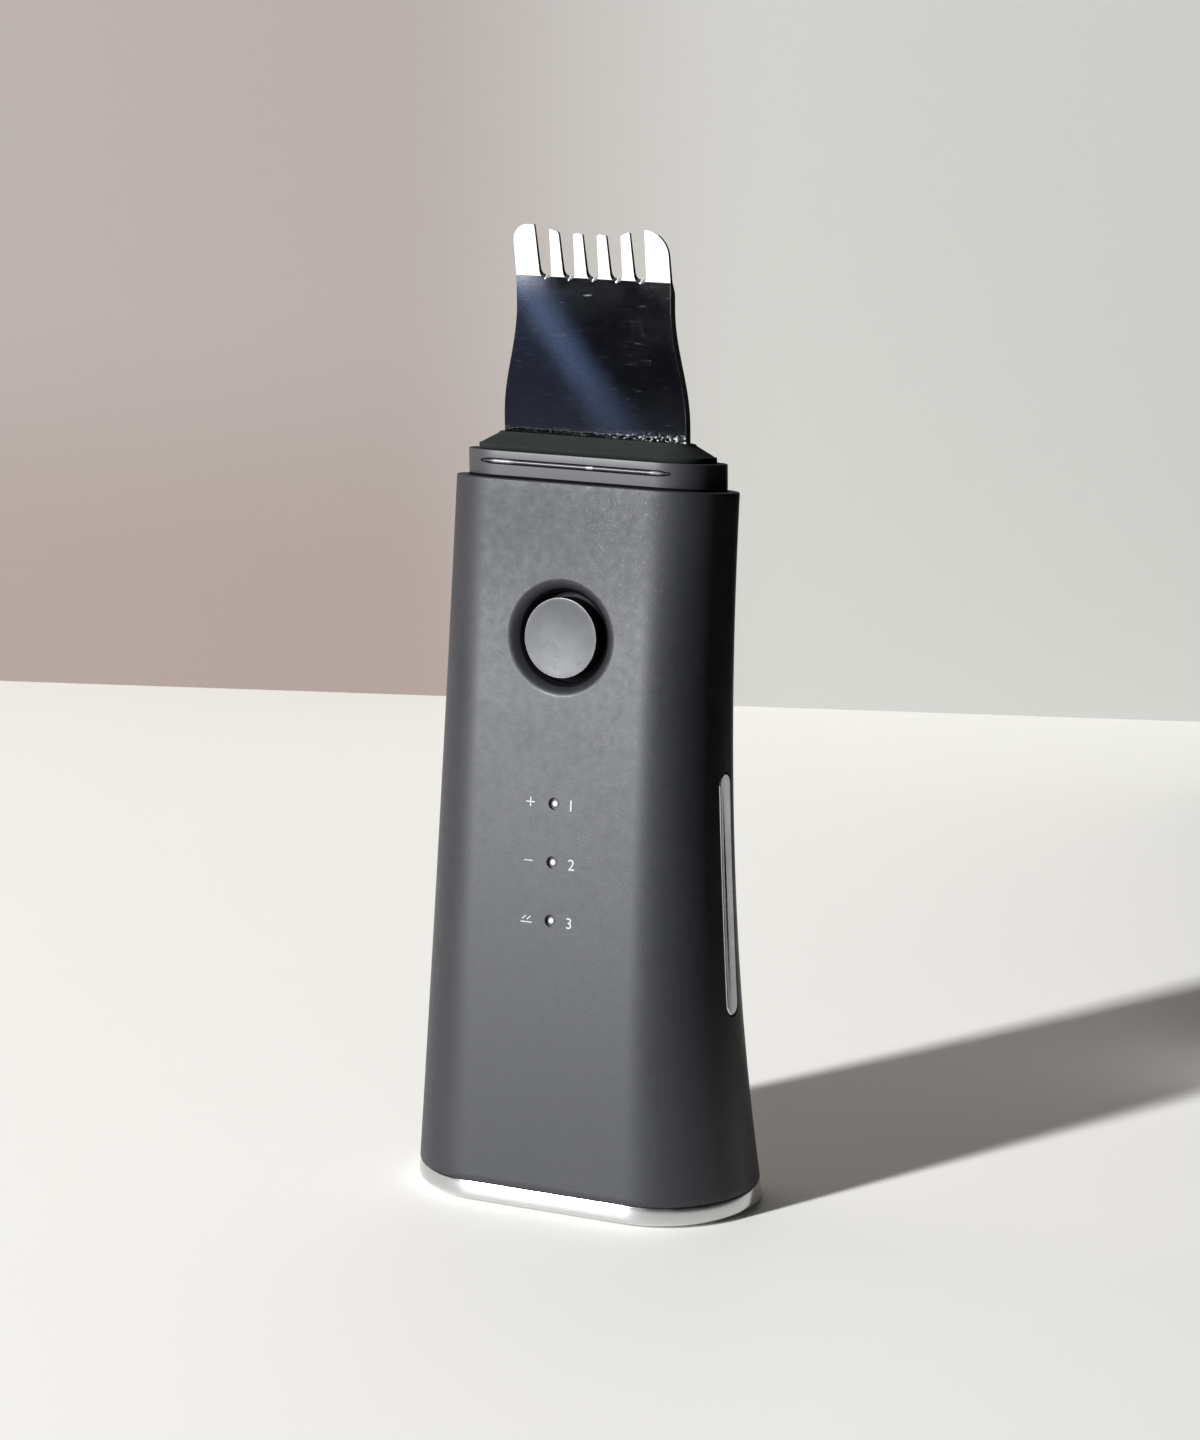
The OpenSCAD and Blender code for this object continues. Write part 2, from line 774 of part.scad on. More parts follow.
module light_pipe(i) {
    z = lamp_height(i);
    low = face_sag(z) - board_depth + chip_h;
    color([0.95, 0.97, 1]) at_face(z) {
        translate([0, 0, low]) cylinder(h = -lamp_sink - low, d = pipe_d);
        translate([0, 0, low]) cylinder(h = 0.8, d = 2.6);
    }
}

// Driver transformer: a core with two windows, and a coil that passes through them
core = [10, 9, 2.8];
core_skin = 0.4;
window_w = 2;
limb_w = 3.6;
coil_over = 1.5;
transformer_at = [-8.5, -54, -board_depth];

module transformer_core() {
    color([0.2, 0.2, 0.2]) at_button() translate(transformer_at) difference() {
        box(core);
        for (s = [-1, 1]) {
            translate([s * (limb_w + window_w) / 2, 0, core_skin])
                box([window_w, core[1] + 1, core[2] - 2 * core_skin]);
        }
    }
}

module transformer_coil() {
    h = core[2] - 2 * core_skin;
    color([0.75, 0.45, 0.2]) at_button() translate(transformer_at) translate([0, 0, core_skin]) difference() {
        box([limb_w + 2 * window_w, core[1] + 2 * coil_over, h]);
        translate([0, 0, -1]) box([limb_w, core[1], h + 2]);
    }
}

module chip(x, v, w, l, h) {
    at_button() translate([x, v, -board_depth]) box([w, l, h]);
}

module controller_chip() {
    color([0.1, 0.1, 0.1]) chip(9, -14, 7, 7, 1);
}

module driver_chip() {
    color([0.1, 0.1, 0.1]) chip(9.5, -57, 5, 4, 1.1);
}

module charge_chip() {
    color([0.1, 0.1, 0.1]) chip(1, -57, 3, 3, 0.8);
}

module storage_coil() {
    rim_d = 6.4;
    rim_h = 0.5;
    coil_h = 2.3;
    color([0.3, 0.3, 0.32]) at_button() translate([9, -48, -board_depth]) {
        cylinder(h = rim_h, d = rim_d);
        cylinder(h = coil_h, d = rim_d - 2.4);
        translate([0, 0, coil_h - rim_h]) cylinder(h = rim_h, d = rim_d);
    }
}

module battery_cell() {
    color([0.75, 0.77, 0.8]) at_button()
        translate([0, cell_low + cell_l / 2, -cell_front - cell_t]) box([cell_w, cell_l, cell_t]);
}

module battery_pad() {
    color([0.3, 0.3, 0.3]) at_button()
        translate([0, cell_low + cell_l / 2, -cell_front]) box([cell_w - 6, cell_l - 8, pad_t]);
}

// Openings in the frame's plate: one for the leads behind the board, one for those from the inlet
lead_gap = [15, 14, -17];
inlet_gap = [11, 3.6, -79.2];

module battery_leads() {
    deep = cell_front + cell_t / 2;
    end = lead_gap[2] - lead_gap[1] / 2 + 2.5;
    color("red") for (x = [-2.5, 2.5]) {
        wire([
            spot(x, cell_low + cell_l, -deep), spot(x, end, -deep), spot(x, end, -board_back)
        ], lead_d);
    }
}

module frame_plate() {
    half = rib_in + rib_t;
    rib_high = plate_high + 14;
    at_button() {
        translate([0, (plate_low + plate_high) / 2, -plate_back])
            box([2 * half, plate_high - plate_low, plate_t]);
        for (side = [-1, 1]) {
            translate([side * (rib_in + rib_t / 2), (plate_low + rib_high) / 2, -rib_back])
                box([rib_t, rib_high - plate_low, rib_back - plate_depth]);
        }
        for (x = [-fix_x, fix_x]) for (v = [fix_low, fix_high]) {
            translate([x, v, -plate_depth - 0.1]) cylinder(h = board_stand + 0.1, d = stand_d);
        }
    }
}

module chassis() {
    tab_l = 6.2;
    color([0.8, 0.8, 0.78]) difference() {
        union() {
            frame_plate();
            translate([0, body_y(foot_z), foot_z]) obround(flat_half, spigot_r - foot_plate_in, foot_plate_t);
            for (side = [-1, 1]) {
                translate([side * base_screw_x, base_screw_y, foot_z]) cylinder(h = boss_h, d = boss_d);
                translate([side * (rib_in + rib_t - tab_w / 2), blade_y, neck_floor - tab_t])
                    box([tab_w, tab_l, tab_t]);
                for (y = [inlet_screw_y, inlet_prop_y]) {
                    translate([side * inlet_screw_x, y, foot_z + 1])
                        cylinder(h = foot_plate_t + inlet_stand - 1, d = 3.4);
                }
            }
        }
        at_button() {
            translate([0, lead_gap[2], -plate_back - 1]) box([lead_gap[0], lead_gap[1], plate_t + 2]);
            translate([0, inlet_gap[2], -plate_back - 1]) box([inlet_gap[0], inlet_gap[1], plate_t + 2]);
            for (x = [-fix_x, fix_x]) for (v = [fix_low, fix_high]) {
                translate([x, v, -plate_back - 1]) cylinder(h = plate_t + board_stand + 2, d = fix_d);
            }
        }
        for (side = [-1, 1]) {
            translate([side * base_screw_x, base_screw_y, foot_z - 1]) cylinder(h = boss_h, d = base_screw_d);
            translate([side * neck_screw_x, blade_y, neck_floor - tab_t - 1])
                cylinder(h = tab_t + 2, d = neck_screw_d + thread_play);
            translate([side * inlet_screw_x, inlet_screw_y, foot_z - 1]) cylinder(h = 6, d = fix_d);
        }
        translate([0, 0, foot_z - past]) box([4 * past, 4 * past, past]);
        translate([0, 0, neck_floor]) box([4 * past, 4 * past, past]);
    }
}

module contact(side) {
    near = board_w / 2 - contact_land;
    far = contact_x + contact_t;
    v = face_up(post_z[1]) + body_r(post_z[1]) * sin(lean);
    color([0.8, 0.7, 0.4]) at_button() translate([0, v, 0]) {
        translate([side * (near + far) / 2, 0, -board_depth]) box([far - near, contact_w, contact_t]);
        translate([side * (far - contact_t / 2), 0, -board_depth - contact_drop])
            box([contact_t, contact_w, contact_drop + contact_t]);
    }
}

module charge_shell() {
    back_wall = 0.8;
    color("silver") translate([0, inlet_rear, inlet_z]) rotate([-90, 0, 0]) difference() {
        obround(inlet_half, inlet_r, inlet_l);
        translate([0, 0, back_wall]) obround(inlet_half, inlet_r - inlet_wall, past);
    }
}

module charge_tongue() {
    color([0.1, 0.1, 0.1]) translate([-tongue_w / 2, inlet_rear + 0.8, inlet_z - tongue_t / 2])
        cube([tongue_w, tongue_l, tongue_t]);
}

module charge_board() {
    color([0.05, 0.3, 0.15]) difference() {
        translate([0, inlet_board_rear - inlet_board_l / 2, inlet_board_top - board_t])
            box([inlet_board_w, inlet_board_l, board_t]);
        for (side = [-1, 1]) {
            translate([side * inlet_screw_x, inlet_screw_y, inlet_board_top - board_t - 1])
                cylinder(h = board_t + 2, d = fix_d + thread_play);
        }
    }
}

module charge_screws() {
    color("silver") for (side = [-1, 1]) {
        translate([side * inlet_screw_x, inlet_screw_y, inlet_board_top])
            screw(fix_d, board_t + inlet_stand + 1, fix_head, 1);
    }
}

module charge_leads() {
    start_y = inlet_screw_y - 0.6;
    out = board_depth - 1.3;
    color("red") for (x = [-3, 3]) {
        wire([
            [x, start_y, inlet_board_top], [x, start_y, inlet_board_top + 1.3],
            spot(x, inlet_gap[2], -plate_back), spot(x, inlet_gap[2], -out),
            spot(x, board_low + 1.5, -out), spot(x, board_low + 1.5, -board_depth)
        ], lead_d);
    }
}

module base_plate() {
    ring_in = 0.05;
    edge_z = ring_lift + ring_chamfer;
    color([0.85, 0.86, 0.88]) difference() {
        union() {
            skin([
                [ring_lift, body_r(edge_z) - ring_in - ring_chamfer, 0],
                [edge_z, body_r(edge_z) - ring_in, body_y(edge_z)],
                [ring_h, body_r(ring_h) - ring_in, body_y(ring_h)]
            ], end_steps);
            difference() {
                translate([0, spigot_y, ring_h - 0.5])
                    obround(flat_half, spigot_r, spigot_top - ring_h + 0.5);
                translate([0, spigot_y, ring_h - 1]) obround(flat_half, spigot_r - spigot_wall, past);
            }
            for (side = [-1, 1]) {
                translate([side * base_screw_x, base_screw_y, tray_floor - 0.5])
                    cylinder(h = foot_z - tray_floor + 0.5, d = boss_d + 1);
            }
        }
        difference() {
            translate([0, spigot_y, tray_floor]) obround(flat_half, spigot_r - spigot_wall, past);
            for (side = [-1, 1]) {
                translate([side * base_screw_x, base_screw_y, 0]) cylinder(h = foot_z, d = boss_d + 1);
            }
        }
        translate([0, 0, -1]) obround(flat_half, r_foot - foot_inset + foot_play, foot_t + 1);
        for (side = [-1, 1]) {
            translate([side * base_screw_x, base_screw_y, 0]) cylinder(h = seat_z, d = base_head_d + 0.4);
            translate([side * base_screw_x, base_screw_y, 0])
                cylinder(h = past, d = base_screw_d + thread_play);
        }
    }
}

module base_screws() {
    color("silver") for (side = [-1, 1]) {
        translate([side * base_screw_x, base_screw_y, seat_z]) rotate([180, 0, 0])
            screw(base_screw_d, base_screw_l, base_head_d, base_head_h);
    }
}

module foot_pad() {
    color([0.1, 0.1, 0.1]) obround(flat_half, r_foot - foot_inset, foot_t);
}

housing_sleeve();
neck_collar();
blade_boot();
blade();
clamp_front();
clamp_rear();
clamp_cushions();
clamp_screws();
neck_screws();
piezo_front();
piezo_rear();
piezo_leads();
button_cap();
button_carrier();
switch_plunger();
switch_case();
main_board();
board_screws();
lamp_chips();
light_pipe(0);  // light_pipe_top
light_pipe(1);  // light_pipe_middle
light_pipe(2);  // light_pipe_bottom
transformer_core();
transformer_coil();
controller_chip();
driver_chip();
charge_chip();
storage_coil();
battery_cell();
battery_pad();
battery_leads();
chassis();
electrode(-1);  // electrode_left
electrode(1);  // electrode_right
contact(-1);  // contact_left
contact(1);  // contact_right
charge_shell();
charge_tongue();
charge_board();
charge_screws();
charge_leads();
base_plate();
base_screws();
foot_pad();
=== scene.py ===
import json
import math
import bpy
import bmesh
from mathutils import Matrix, Vector


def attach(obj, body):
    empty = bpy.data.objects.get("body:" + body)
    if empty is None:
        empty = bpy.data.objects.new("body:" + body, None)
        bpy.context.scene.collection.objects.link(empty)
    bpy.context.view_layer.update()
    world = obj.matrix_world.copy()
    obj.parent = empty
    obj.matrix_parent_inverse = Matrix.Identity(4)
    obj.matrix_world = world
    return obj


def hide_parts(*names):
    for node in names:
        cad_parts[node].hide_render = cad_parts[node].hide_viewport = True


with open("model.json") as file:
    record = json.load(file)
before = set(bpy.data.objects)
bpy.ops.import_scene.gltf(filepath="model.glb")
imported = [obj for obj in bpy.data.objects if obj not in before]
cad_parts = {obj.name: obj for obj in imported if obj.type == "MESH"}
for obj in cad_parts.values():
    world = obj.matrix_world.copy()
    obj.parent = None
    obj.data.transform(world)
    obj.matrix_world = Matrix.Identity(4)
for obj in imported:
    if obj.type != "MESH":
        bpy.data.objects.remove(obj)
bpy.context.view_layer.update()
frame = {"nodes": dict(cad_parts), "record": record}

MM = 0.001

# ---------------------------------------------------------------- body form, in millimetres
TOP = 115.4  # sleeve's rim, on the hinge line of its tilt
FLAT = 13.7  # half of the flat width between the round ends
R_KEYS = (15.7, 12.45, 10.65, 10.1)  # end radius at 0, 1/3, 2/3 and all of TOP
Y_KEYS = (0.0, -0.75, 1.25, 5.4)  # middle of the section at the same heights, + is backwards
BUTTON_Z = 92.1
LAMPS = (66.1, 56.82, 47.54)
NECK_Y = 5.4
TILT = math.tan(math.radians(8))
HINGE = -0.4
SHELF_Z = 112.2  # shelf in the sleeve's neck that carries the collar
COLLAR_TOP = 119.7
COLLAR_FOOT = TOP + 0.4  # lower end of the collar's visible wall
COLLAR_R = 8.15
COLLAR_BORE = 5.5
COLLAR_EDGE = 0.15  # rounding of its top edge
BEAD_DOWN = 1.7  # bead and its groove, below the collar's top
BOOT_TOP = COLLAR_TOP + 2.9


def curve(k, t):
    """Cubic through four values at t = 0, 1/3, 2/3 and 1."""
    a, b, c, d = k
    return (-4.5 * a * (t - 1 / 3) * (t - 2 / 3) * (t - 1) + 13.5 * b * t * (t - 2 / 3) * (t - 1)
            - 13.5 * c * t * (t - 1 / 3) * (t - 1) + 4.5 * d * t * (t - 1 / 3) * (t - 2 / 3))


def body_r(z):
    return curve(R_KEYS, z / TOP)


def body_y(z):
    return curve(Y_KEYS, z / TOP)


def face_y(z):
    return body_y(z) - body_r(z)


def drop(y):
    """Fall of the tilted rim towards the back."""
    return (y - HINGE) * TILT


LEAN = math.atan((face_y(BUTTON_Z + 1) - face_y(BUTTON_Z - 1)) / 2)


def at_face(z):
    """Frame on the front face: x right, y up the face, z out of it, in metres."""
    m = Matrix.Translation((0, face_y(z) * MM, z * MM)) @ Matrix.Rotation(math.pi / 2 - LEAN, 4, "X")
    return m @ Matrix.Scale(MM, 4)


FACE = at_face(BUTTON_Z)
SCALE = Matrix.Scale(MM, 4)


def rounding(*angles):
    """Sine and cosine of the steps of a rounded edge."""
    return [(math.sin(math.radians(a)), math.cos(math.radians(a))) for a in angles]


QUARTERS = rounding(22.5, 45, 67.5, 90)
THIRDS = rounding(30, 60, 90)


# ---------------------------------------------------------------- mesh helpers
def new_obj(name, verts, faces, mat=None, matrix=SCALE, smooth=35):
    me = bpy.data.meshes.new(name)
    me.from_pydata([tuple(matrix @ Vector(v)) for v in verts], [], faces)
    bm = bmesh.new()
    bm.from_mesh(me)
    bmesh.ops.remove_doubles(bm, verts=bm.verts, dist=1e-8)
    bmesh.ops.recalc_face_normals(bm, faces=bm.faces)
    bm.to_mesh(me)
    bm.free()
    ob = bpy.data.objects.new(name, me)
    bpy.context.scene.collection.objects.link(ob)
    if mat:
        me.materials.append(mat)
    if smooth:
        me.shade_smooth()
        me.set_sharp_from_angle(angle=math.radians(smooth))
    return ob


def ends(half, r, y, n):
    """Outline of a section with flat sides and round ends, as (x, y) points."""
    pts = []
    for i in range(n + 1):
        a = -math.pi / 2 + math.pi * i / n
        pts.append((half + r * math.cos(a), y + r * math.sin(a)))
    flat = 10
    for i in range(1, flat):
        pts.append((half - 2 * half * i / flat, y + r))
    for i in range(n + 1):
        a = math.pi / 2 + math.pi * i / n
        pts.append((-half + r * math.cos(a), y + r * math.sin(a)))
    for i in range(1, flat):
        pts.append((-half + 2 * half * i / flat, y - r))
    return pts


def body_row(h, k, inset, n):
    """Outline on the body's surface at a height h, with a share k of the rim's tilt."""
    row = []
    for i, (x, y) in enumerate(ends(FLAT, body_r(h), body_y(h), n)):
        z = h - k * drop(y)
        a, b = ends(FLAT, body_r(z) - inset, body_y(z), n)[i]
        row.append((a, b, h - k * drop(b)))
    return row


def stack(levels, n=40, loop=False, caps=True, half=FLAT):
    """Skin over outlines given as (z, r, y), as (z, r, y, share of the tilt) or as rows of points."""
    verts, faces = [], []
    for lv in levels:
        row = lv
        if len(lv) < 5:
            k = lv[3] if len(lv) == 4 else 0
            row = [(a, b, lv[0] - k * drop(b)) for a, b in ends(half, lv[1], lv[2], n)]
        per = len(row)
        verts += row
    k = len(levels)
    for j in range(k if loop else k - 1):
        for i in range(per):
            a, b = j * per, ((j + 1) % k) * per
            faces.append((a + i, a + (i + 1) % per, b + (i + 1) % per, b + i))
    if caps and not loop:
        faces.append(tuple(range(per)))
        faces.append(tuple((k - 1) * per + i for i in range(per)))
    return verts, faces


def turn(profile, n=96):
    """Solid of revolution about z from (r, z) points; points on the axis close it."""
    verts, faces, ring = [], [], []
    for r, z in profile:
        if r < 1e-6:
            ring.append([len(verts)])
            verts.append((0, 0, z))
        else:
            ring.append(list(range(len(verts), len(verts) + n)))
            angles = [2 * math.pi * i / n for i in range(n)]
            verts += [(r * math.cos(a), r * math.sin(a), z) for a in angles]
    for a, b in zip(ring, ring[1:]):
        for i in range(n):
            j = (i + 1) % n
            if len(a) == 1 and len(b) == 1:
                continue
            if len(a) == 1:
                faces.append((a[0], b[i], b[j]))
            elif len(b) == 1:
                faces.append((a[i], a[j], b[0]))
            else:
                faces.append((a[i], a[j], b[j], b[i]))
    return verts, faces


def cut(ob, cutters, op="DIFFERENCE"):
    """Applies exact booleans and removes the cutters."""
    for c in cutters:
        m = ob.modifiers.new("cut", "BOOLEAN")
        m.operation = op
        m.solver = "EXACT"
        m.object = c
    bpy.context.view_layer.update()
    dg = bpy.context.evaluated_depsgraph_get()
    me = bpy.data.meshes.new_from_object(ob.evaluated_get(dg))
    ob.modifiers.clear()
    old = ob.data
    ob.data = me
    bpy.data.meshes.remove(old)
    for c in cutters:
        d = c.data
        bpy.data.objects.remove(c)
        bpy.data.meshes.remove(d)
    return ob


# ---------------------------------------------------------------- materials
class Mat:
    """A small builder for procedural materials in object coordinates."""

    def __init__(self, name, color, rough, metal=0.0, spec=0.5):
        self.m = bpy.data.materials.new(name)
        self.m.use_nodes = True
        self.t = self.m.node_tree
        self.b = self.t.nodes["Principled BSDF"]
        self.b.inputs["Base Color"].default_value = (*color, 1)
        self.b.inputs["Roughness"].default_value = rough
        self.b.inputs["Metallic"].default_value = metal
        self.b.inputs["Specular IOR Level"].default_value = spec
        self.co = self.t.nodes.new("ShaderNodeTexCoord").outputs["Object"]
        self.bump_in = None

    def node(self, kind, **props):
        n = self.t.nodes.new(kind)
        for k, v in props.items():
            setattr(n, k, v)
        return n

    def link(self, a, b):
        self.t.links.new(a, b)

    def mapped(self, scale=(1, 1, 1), rot=(0, 0, 0)):
        n = self.node("ShaderNodeMapping")
        n.inputs["Scale"].default_value = scale
        n.inputs["Rotation"].default_value = rot
        self.link(self.co, n.inputs["Vector"])
        return n.outputs["Vector"]

    def noise(self, scale, detail=4.0, rough=0.55, vec=None):
        n = self.node("ShaderNodeTexNoise")
        n.inputs["Scale"].default_value = scale
        n.inputs["Detail"].default_value = detail
        n.inputs["Roughness"].default_value = rough
        self.link(vec or self.co, n.inputs["Vector"])
        return n.outputs["Fac"]

    def remap(self, v, a, b, c, d, smooth=False):
        n = self.node("ShaderNodeMapRange", clamp=True)
        if smooth:
            n.interpolation_type = "SMOOTHSTEP"
        n.inputs["From Min"].default_value = a
        n.inputs["From Max"].default_value = b
        n.inputs["To Min"].default_value = c
        n.inputs["To Max"].default_value = d
        self.link(v, n.inputs["Value"])
        return n.outputs["Result"]

    def axes(self):
        """The parts of the coordinates, one output each."""
        sep = self.node("ShaderNodeSeparateXYZ")
        self.link(self.co, sep.inputs[0])
        return sep.outputs

    def plane(self):
        """Height at which the tilted plane through a point meets the hinge line."""
        xyz = self.axes()
        fall = self.math("MULTIPLY", self.math("SUBTRACT", xyz[1], HINGE * MM), TILT)
        return self.math("ADD", xyz[2], fall)

    def math(self, op, a, b=None):
        n = self.node("ShaderNodeMath", operation=op)
        for i, v in enumerate((a, b)):
            if v is None:
                continue
            if isinstance(v, (int, float)):
                n.inputs[i].default_value = v
            else:
                self.link(v, n.inputs[i])
        return n.outputs[0]

    def mix(self, fac, a, b):
        n = self.node("ShaderNodeMix", data_type="RGBA")
        for k, v in ((0, fac), (6, a), (7, b)):
            if isinstance(v, (int, float)):
                n.inputs[k].default_value = v
            elif isinstance(v, tuple):
                n.inputs[k].default_value = (*v, 1)
            else:
                self.link(v, n.inputs[k])
        return n.outputs[2]

    def color(self, v):
        self.link(v, self.b.inputs["Base Color"])

    def rough(self, v):
        self.link(v, self.b.inputs["Roughness"])

    def bump(self, v, strength, dist):
        n = self.node("ShaderNodeBump")
        n.inputs["Strength"].default_value = strength
        n.inputs["Distance"].default_value = dist
        self.link(v, n.inputs["Height"])
        if self.bump_in:
            self.link(self.bump_in, n.inputs["Normal"])
        self.bump_in = n.outputs["Normal"]
        self.link(self.bump_in, self.b.inputs["Normal"])


def plastic(name, color, rough, grain=0.02, wear=0.06, spec=0.4, cell=1800):
    """Moulded plastic: fine texture and a patchy sheen."""
    m = Mat(name, color, rough, spec=spec)
    big = m.noise(60, 3)
    fine = m.noise(cell, 5)
    sheen = m.remap(big, 0.3, 0.7, rough - wear / 2, rough + wear / 2)
    m.rough(m.math("ADD", sheen, m.remap(fine, 0.3, 0.7, -0.02, 0.02)))
    tone = m.remap(big, 0.3, 0.7, 0, 1)
    m.color(m.mix(tone, tuple(c * 0.94 for c in color), tuple(min(1, c * 1.06) for c in color)))
    m.bump(fine, grain * 10, 0.00002)
    return m.m


def metal(name, color, rough, stretch=None, wear=0.05, bump=0.1):
    """Metal with smudges in the roughness and hairline scratches."""
    m = Mat(name, color, rough, metal=1.0)
    smudge = m.noise(90, 5, 0.65)
    vec = m.mapped(stretch or (1, 1, 30))
    hair = m.noise(500, 6, 0.6, vec)
    dull = m.remap(smudge, 0.35, 0.75, rough, rough + wear)
    m.rough(m.math("ADD", dull, m.remap(hair, 0.55, 0.8, 0, wear)))
    m.color(m.mix(m.remap(smudge, 0.3, 0.7, 0, 1), color, tuple(c * 0.93 for c in color)))
    m.bump(hair, bump, 0.000004)
    return m.m


def soft_touch():
    """Soft-touch coating: dark, with a broad sheen, a fine grain and dust near the upper right."""
    c = (0.013, 0.0137, 0.0175)
    m = Mat("soft_touch", c, 0.44, spec=0.48)
    big = m.noise(45, 4, 0.6)
    mid = m.noise(700, 4, 0.6)
    fine = m.noise(3800, 3, 0.6)
    dust = m.noise(4200, 2, 0.5)
    x, _, z = m.axes()
    high = m.remap(z, 0.08, 0.11, 0.0, 1, True)
    side = m.math("MULTIPLY", m.remap(x, -0.006, 0.006, 0, 1, True), m.remap(x, 0.014, 0.018, 1, 0.15))
    corner = m.math("MULTIPLY", high, side)
    patch = m.math("MAXIMUM", corner, m.remap(m.noise(28, 2), 0.5, 0.8, 0, 0.35, True))
    specks = m.math("MULTIPLY", m.remap(dust, 0.65, 0.71, 0, 1, True), patch)
    base = m.mix(m.remap(big, 0.3, 0.7, 0, 1), tuple(v * 0.93 for v in c), tuple(v * 1.08 for v in c))
    m.color(m.mix(m.math("MULTIPLY", specks, 0.3), base, (0.45, 0.45, 0.45)))
    up = m.remap(z, 0.082, 0.112, 0, 0.12, True)
    low = m.remap(z, 0.0, 0.05, 0.06, 0, True)
    rim = m.remap(m.plane(), (TOP - 0.2) * MM, (TOP - 0.05) * MM, 0, 0.3)
    rough = m.math("ADD", m.remap(big, 0.3, 0.7, 0.41, 0.47), m.remap(mid, 0.3, 0.7, -0.045, 0.045))
    m.rough(m.math("ADD", rough, m.math("MAXIMUM", m.math("MAXIMUM", up, low), rim)))
    m.bump(fine, 0.6, 0.00002)
    m.bump(mid, 0.5, 0.000012)
    return m.m


def satin_collar():
    """Satin plastic whose flat top is left rougher than its wall, and darker in colour there as painted shade."""
    c = (0.02, 0.0204, 0.0235)
    m = Mat("satin_collar", c, 0.48, spec=0.7)
    big = m.noise(60, 3)
    fine = m.noise(1800, 5)
    top = m.remap(m.plane(), (COLLAR_TOP - 0.12) * MM, (COLLAR_TOP - 0.02) * MM, 0, 1)
    rough = m.math("ADD", m.remap(big, 0.3, 0.7, 0.45, 0.51), m.remap(fine, 0.3, 0.7, -0.02, 0.02))
    m.rough(m.math("ADD", rough, m.math("MULTIPLY", top, 0.4)))
    # painted shade: the flat top's colour is halved
    m.color(m.mix(top, c, tuple(v * 0.5 for v in c)))
    m.bump(fine, 0.2, 0.00002)
    return m.m


def bead_mat():
    """Satin bead with three shiny spots: smoother there as wear, and lifted in colour as painted glints."""
    m = Mat("collar_bead", (0.03, 0.03, 0.034), 0.4, spec=0.8)
    x = m.axes()[0]
    worn = None
    for middle, half in ((-12.6, 2.4), (2.9, 0.8), (14.3, 1.3)):
        d = m.math("ABSOLUTE", m.math("SUBTRACT", x, middle * MM))
        spot = m.remap(d, 0.3 * half * MM, half * MM, 1, 0, True)
        worn = m.math("MAXIMUM", worn, spot) if worn else spot
    worn = m.math("MULTIPLY", worn, m.remap(m.noise(900, 4), 0.35, 0.6, 0.5, 1))
    # painted highlight: the base colour brightens at the three spots as glints
    m.color(m.mix(worn, (0.026, 0.026, 0.03), (0.24, 0.24, 0.25)))
    m.rough(m.remap(worn, 0, 1, 0.42, 0.3))
    return m.m


def blade_mat():
    """Polished steel with sparse hairlines and dull flecks above the boot."""
    m = Mat("mirror_steel", (0.74, 0.75, 0.77), 0.03, metal=1.0)
    smudge = m.noise(90, 5, 0.65)
    hair = m.noise(500, 6, 0.6, m.mapped((1, 1, 14)))
    lines = m.remap(m.noise(7000, 2, 0.5, m.mapped((0.06, 1, 1))), 0.66, 0.76, 0, 1, True)
    x = m.axes()[0]
    foot = BOOT_TOP * MM
    low = m.remap(m.plane(), foot, foot + 0.002, 1, 0, True)
    right = m.remap(x, -0.004, 0.014, 0.35, 1, True)
    fleck = m.remap(m.noise(2600, 4, 0.7), 0.45, 0.65, 0, 1, True)
    spots = m.math("MULTIPLY", m.math("MULTIPLY", low, right), fleck)
    rough = m.math("ADD", m.remap(smudge, 0.35, 0.75, 0.02, 0.05), m.remap(hair, 0.55, 0.8, 0, 0.03))
    marks = m.math("MAXIMUM", m.math("MULTIPLY", lines, 0.08), m.math("MULTIPLY", spots, 0.28))
    m.rough(m.math("ADD", rough, marks))
    grain = m.remap(m.noise(4500, 3, 0.6), 0.35, 0.65, 0, 1)
    m.color(m.mix(grain, (0.82, 0.83, 0.85), (0.56, 0.57, 0.59)))
    m.bump(hair, 0.08, 0.000004)
    return m.m


def ink():
    """Pale print, a little worn."""
    m = Mat("ink", (0.38, 0.39, 0.42), 0.6, spec=0.3)
    worn = m.noise(2500, 4)
    m.color(m.mix(m.remap(worn, 0.35, 0.75, 0, 1), (0.4, 0.41, 0.44), (0.3, 0.31, 0.335)))
    m.rough(m.remap(worn, 0.3, 0.7, 0.5, 0.7))
    return m.m


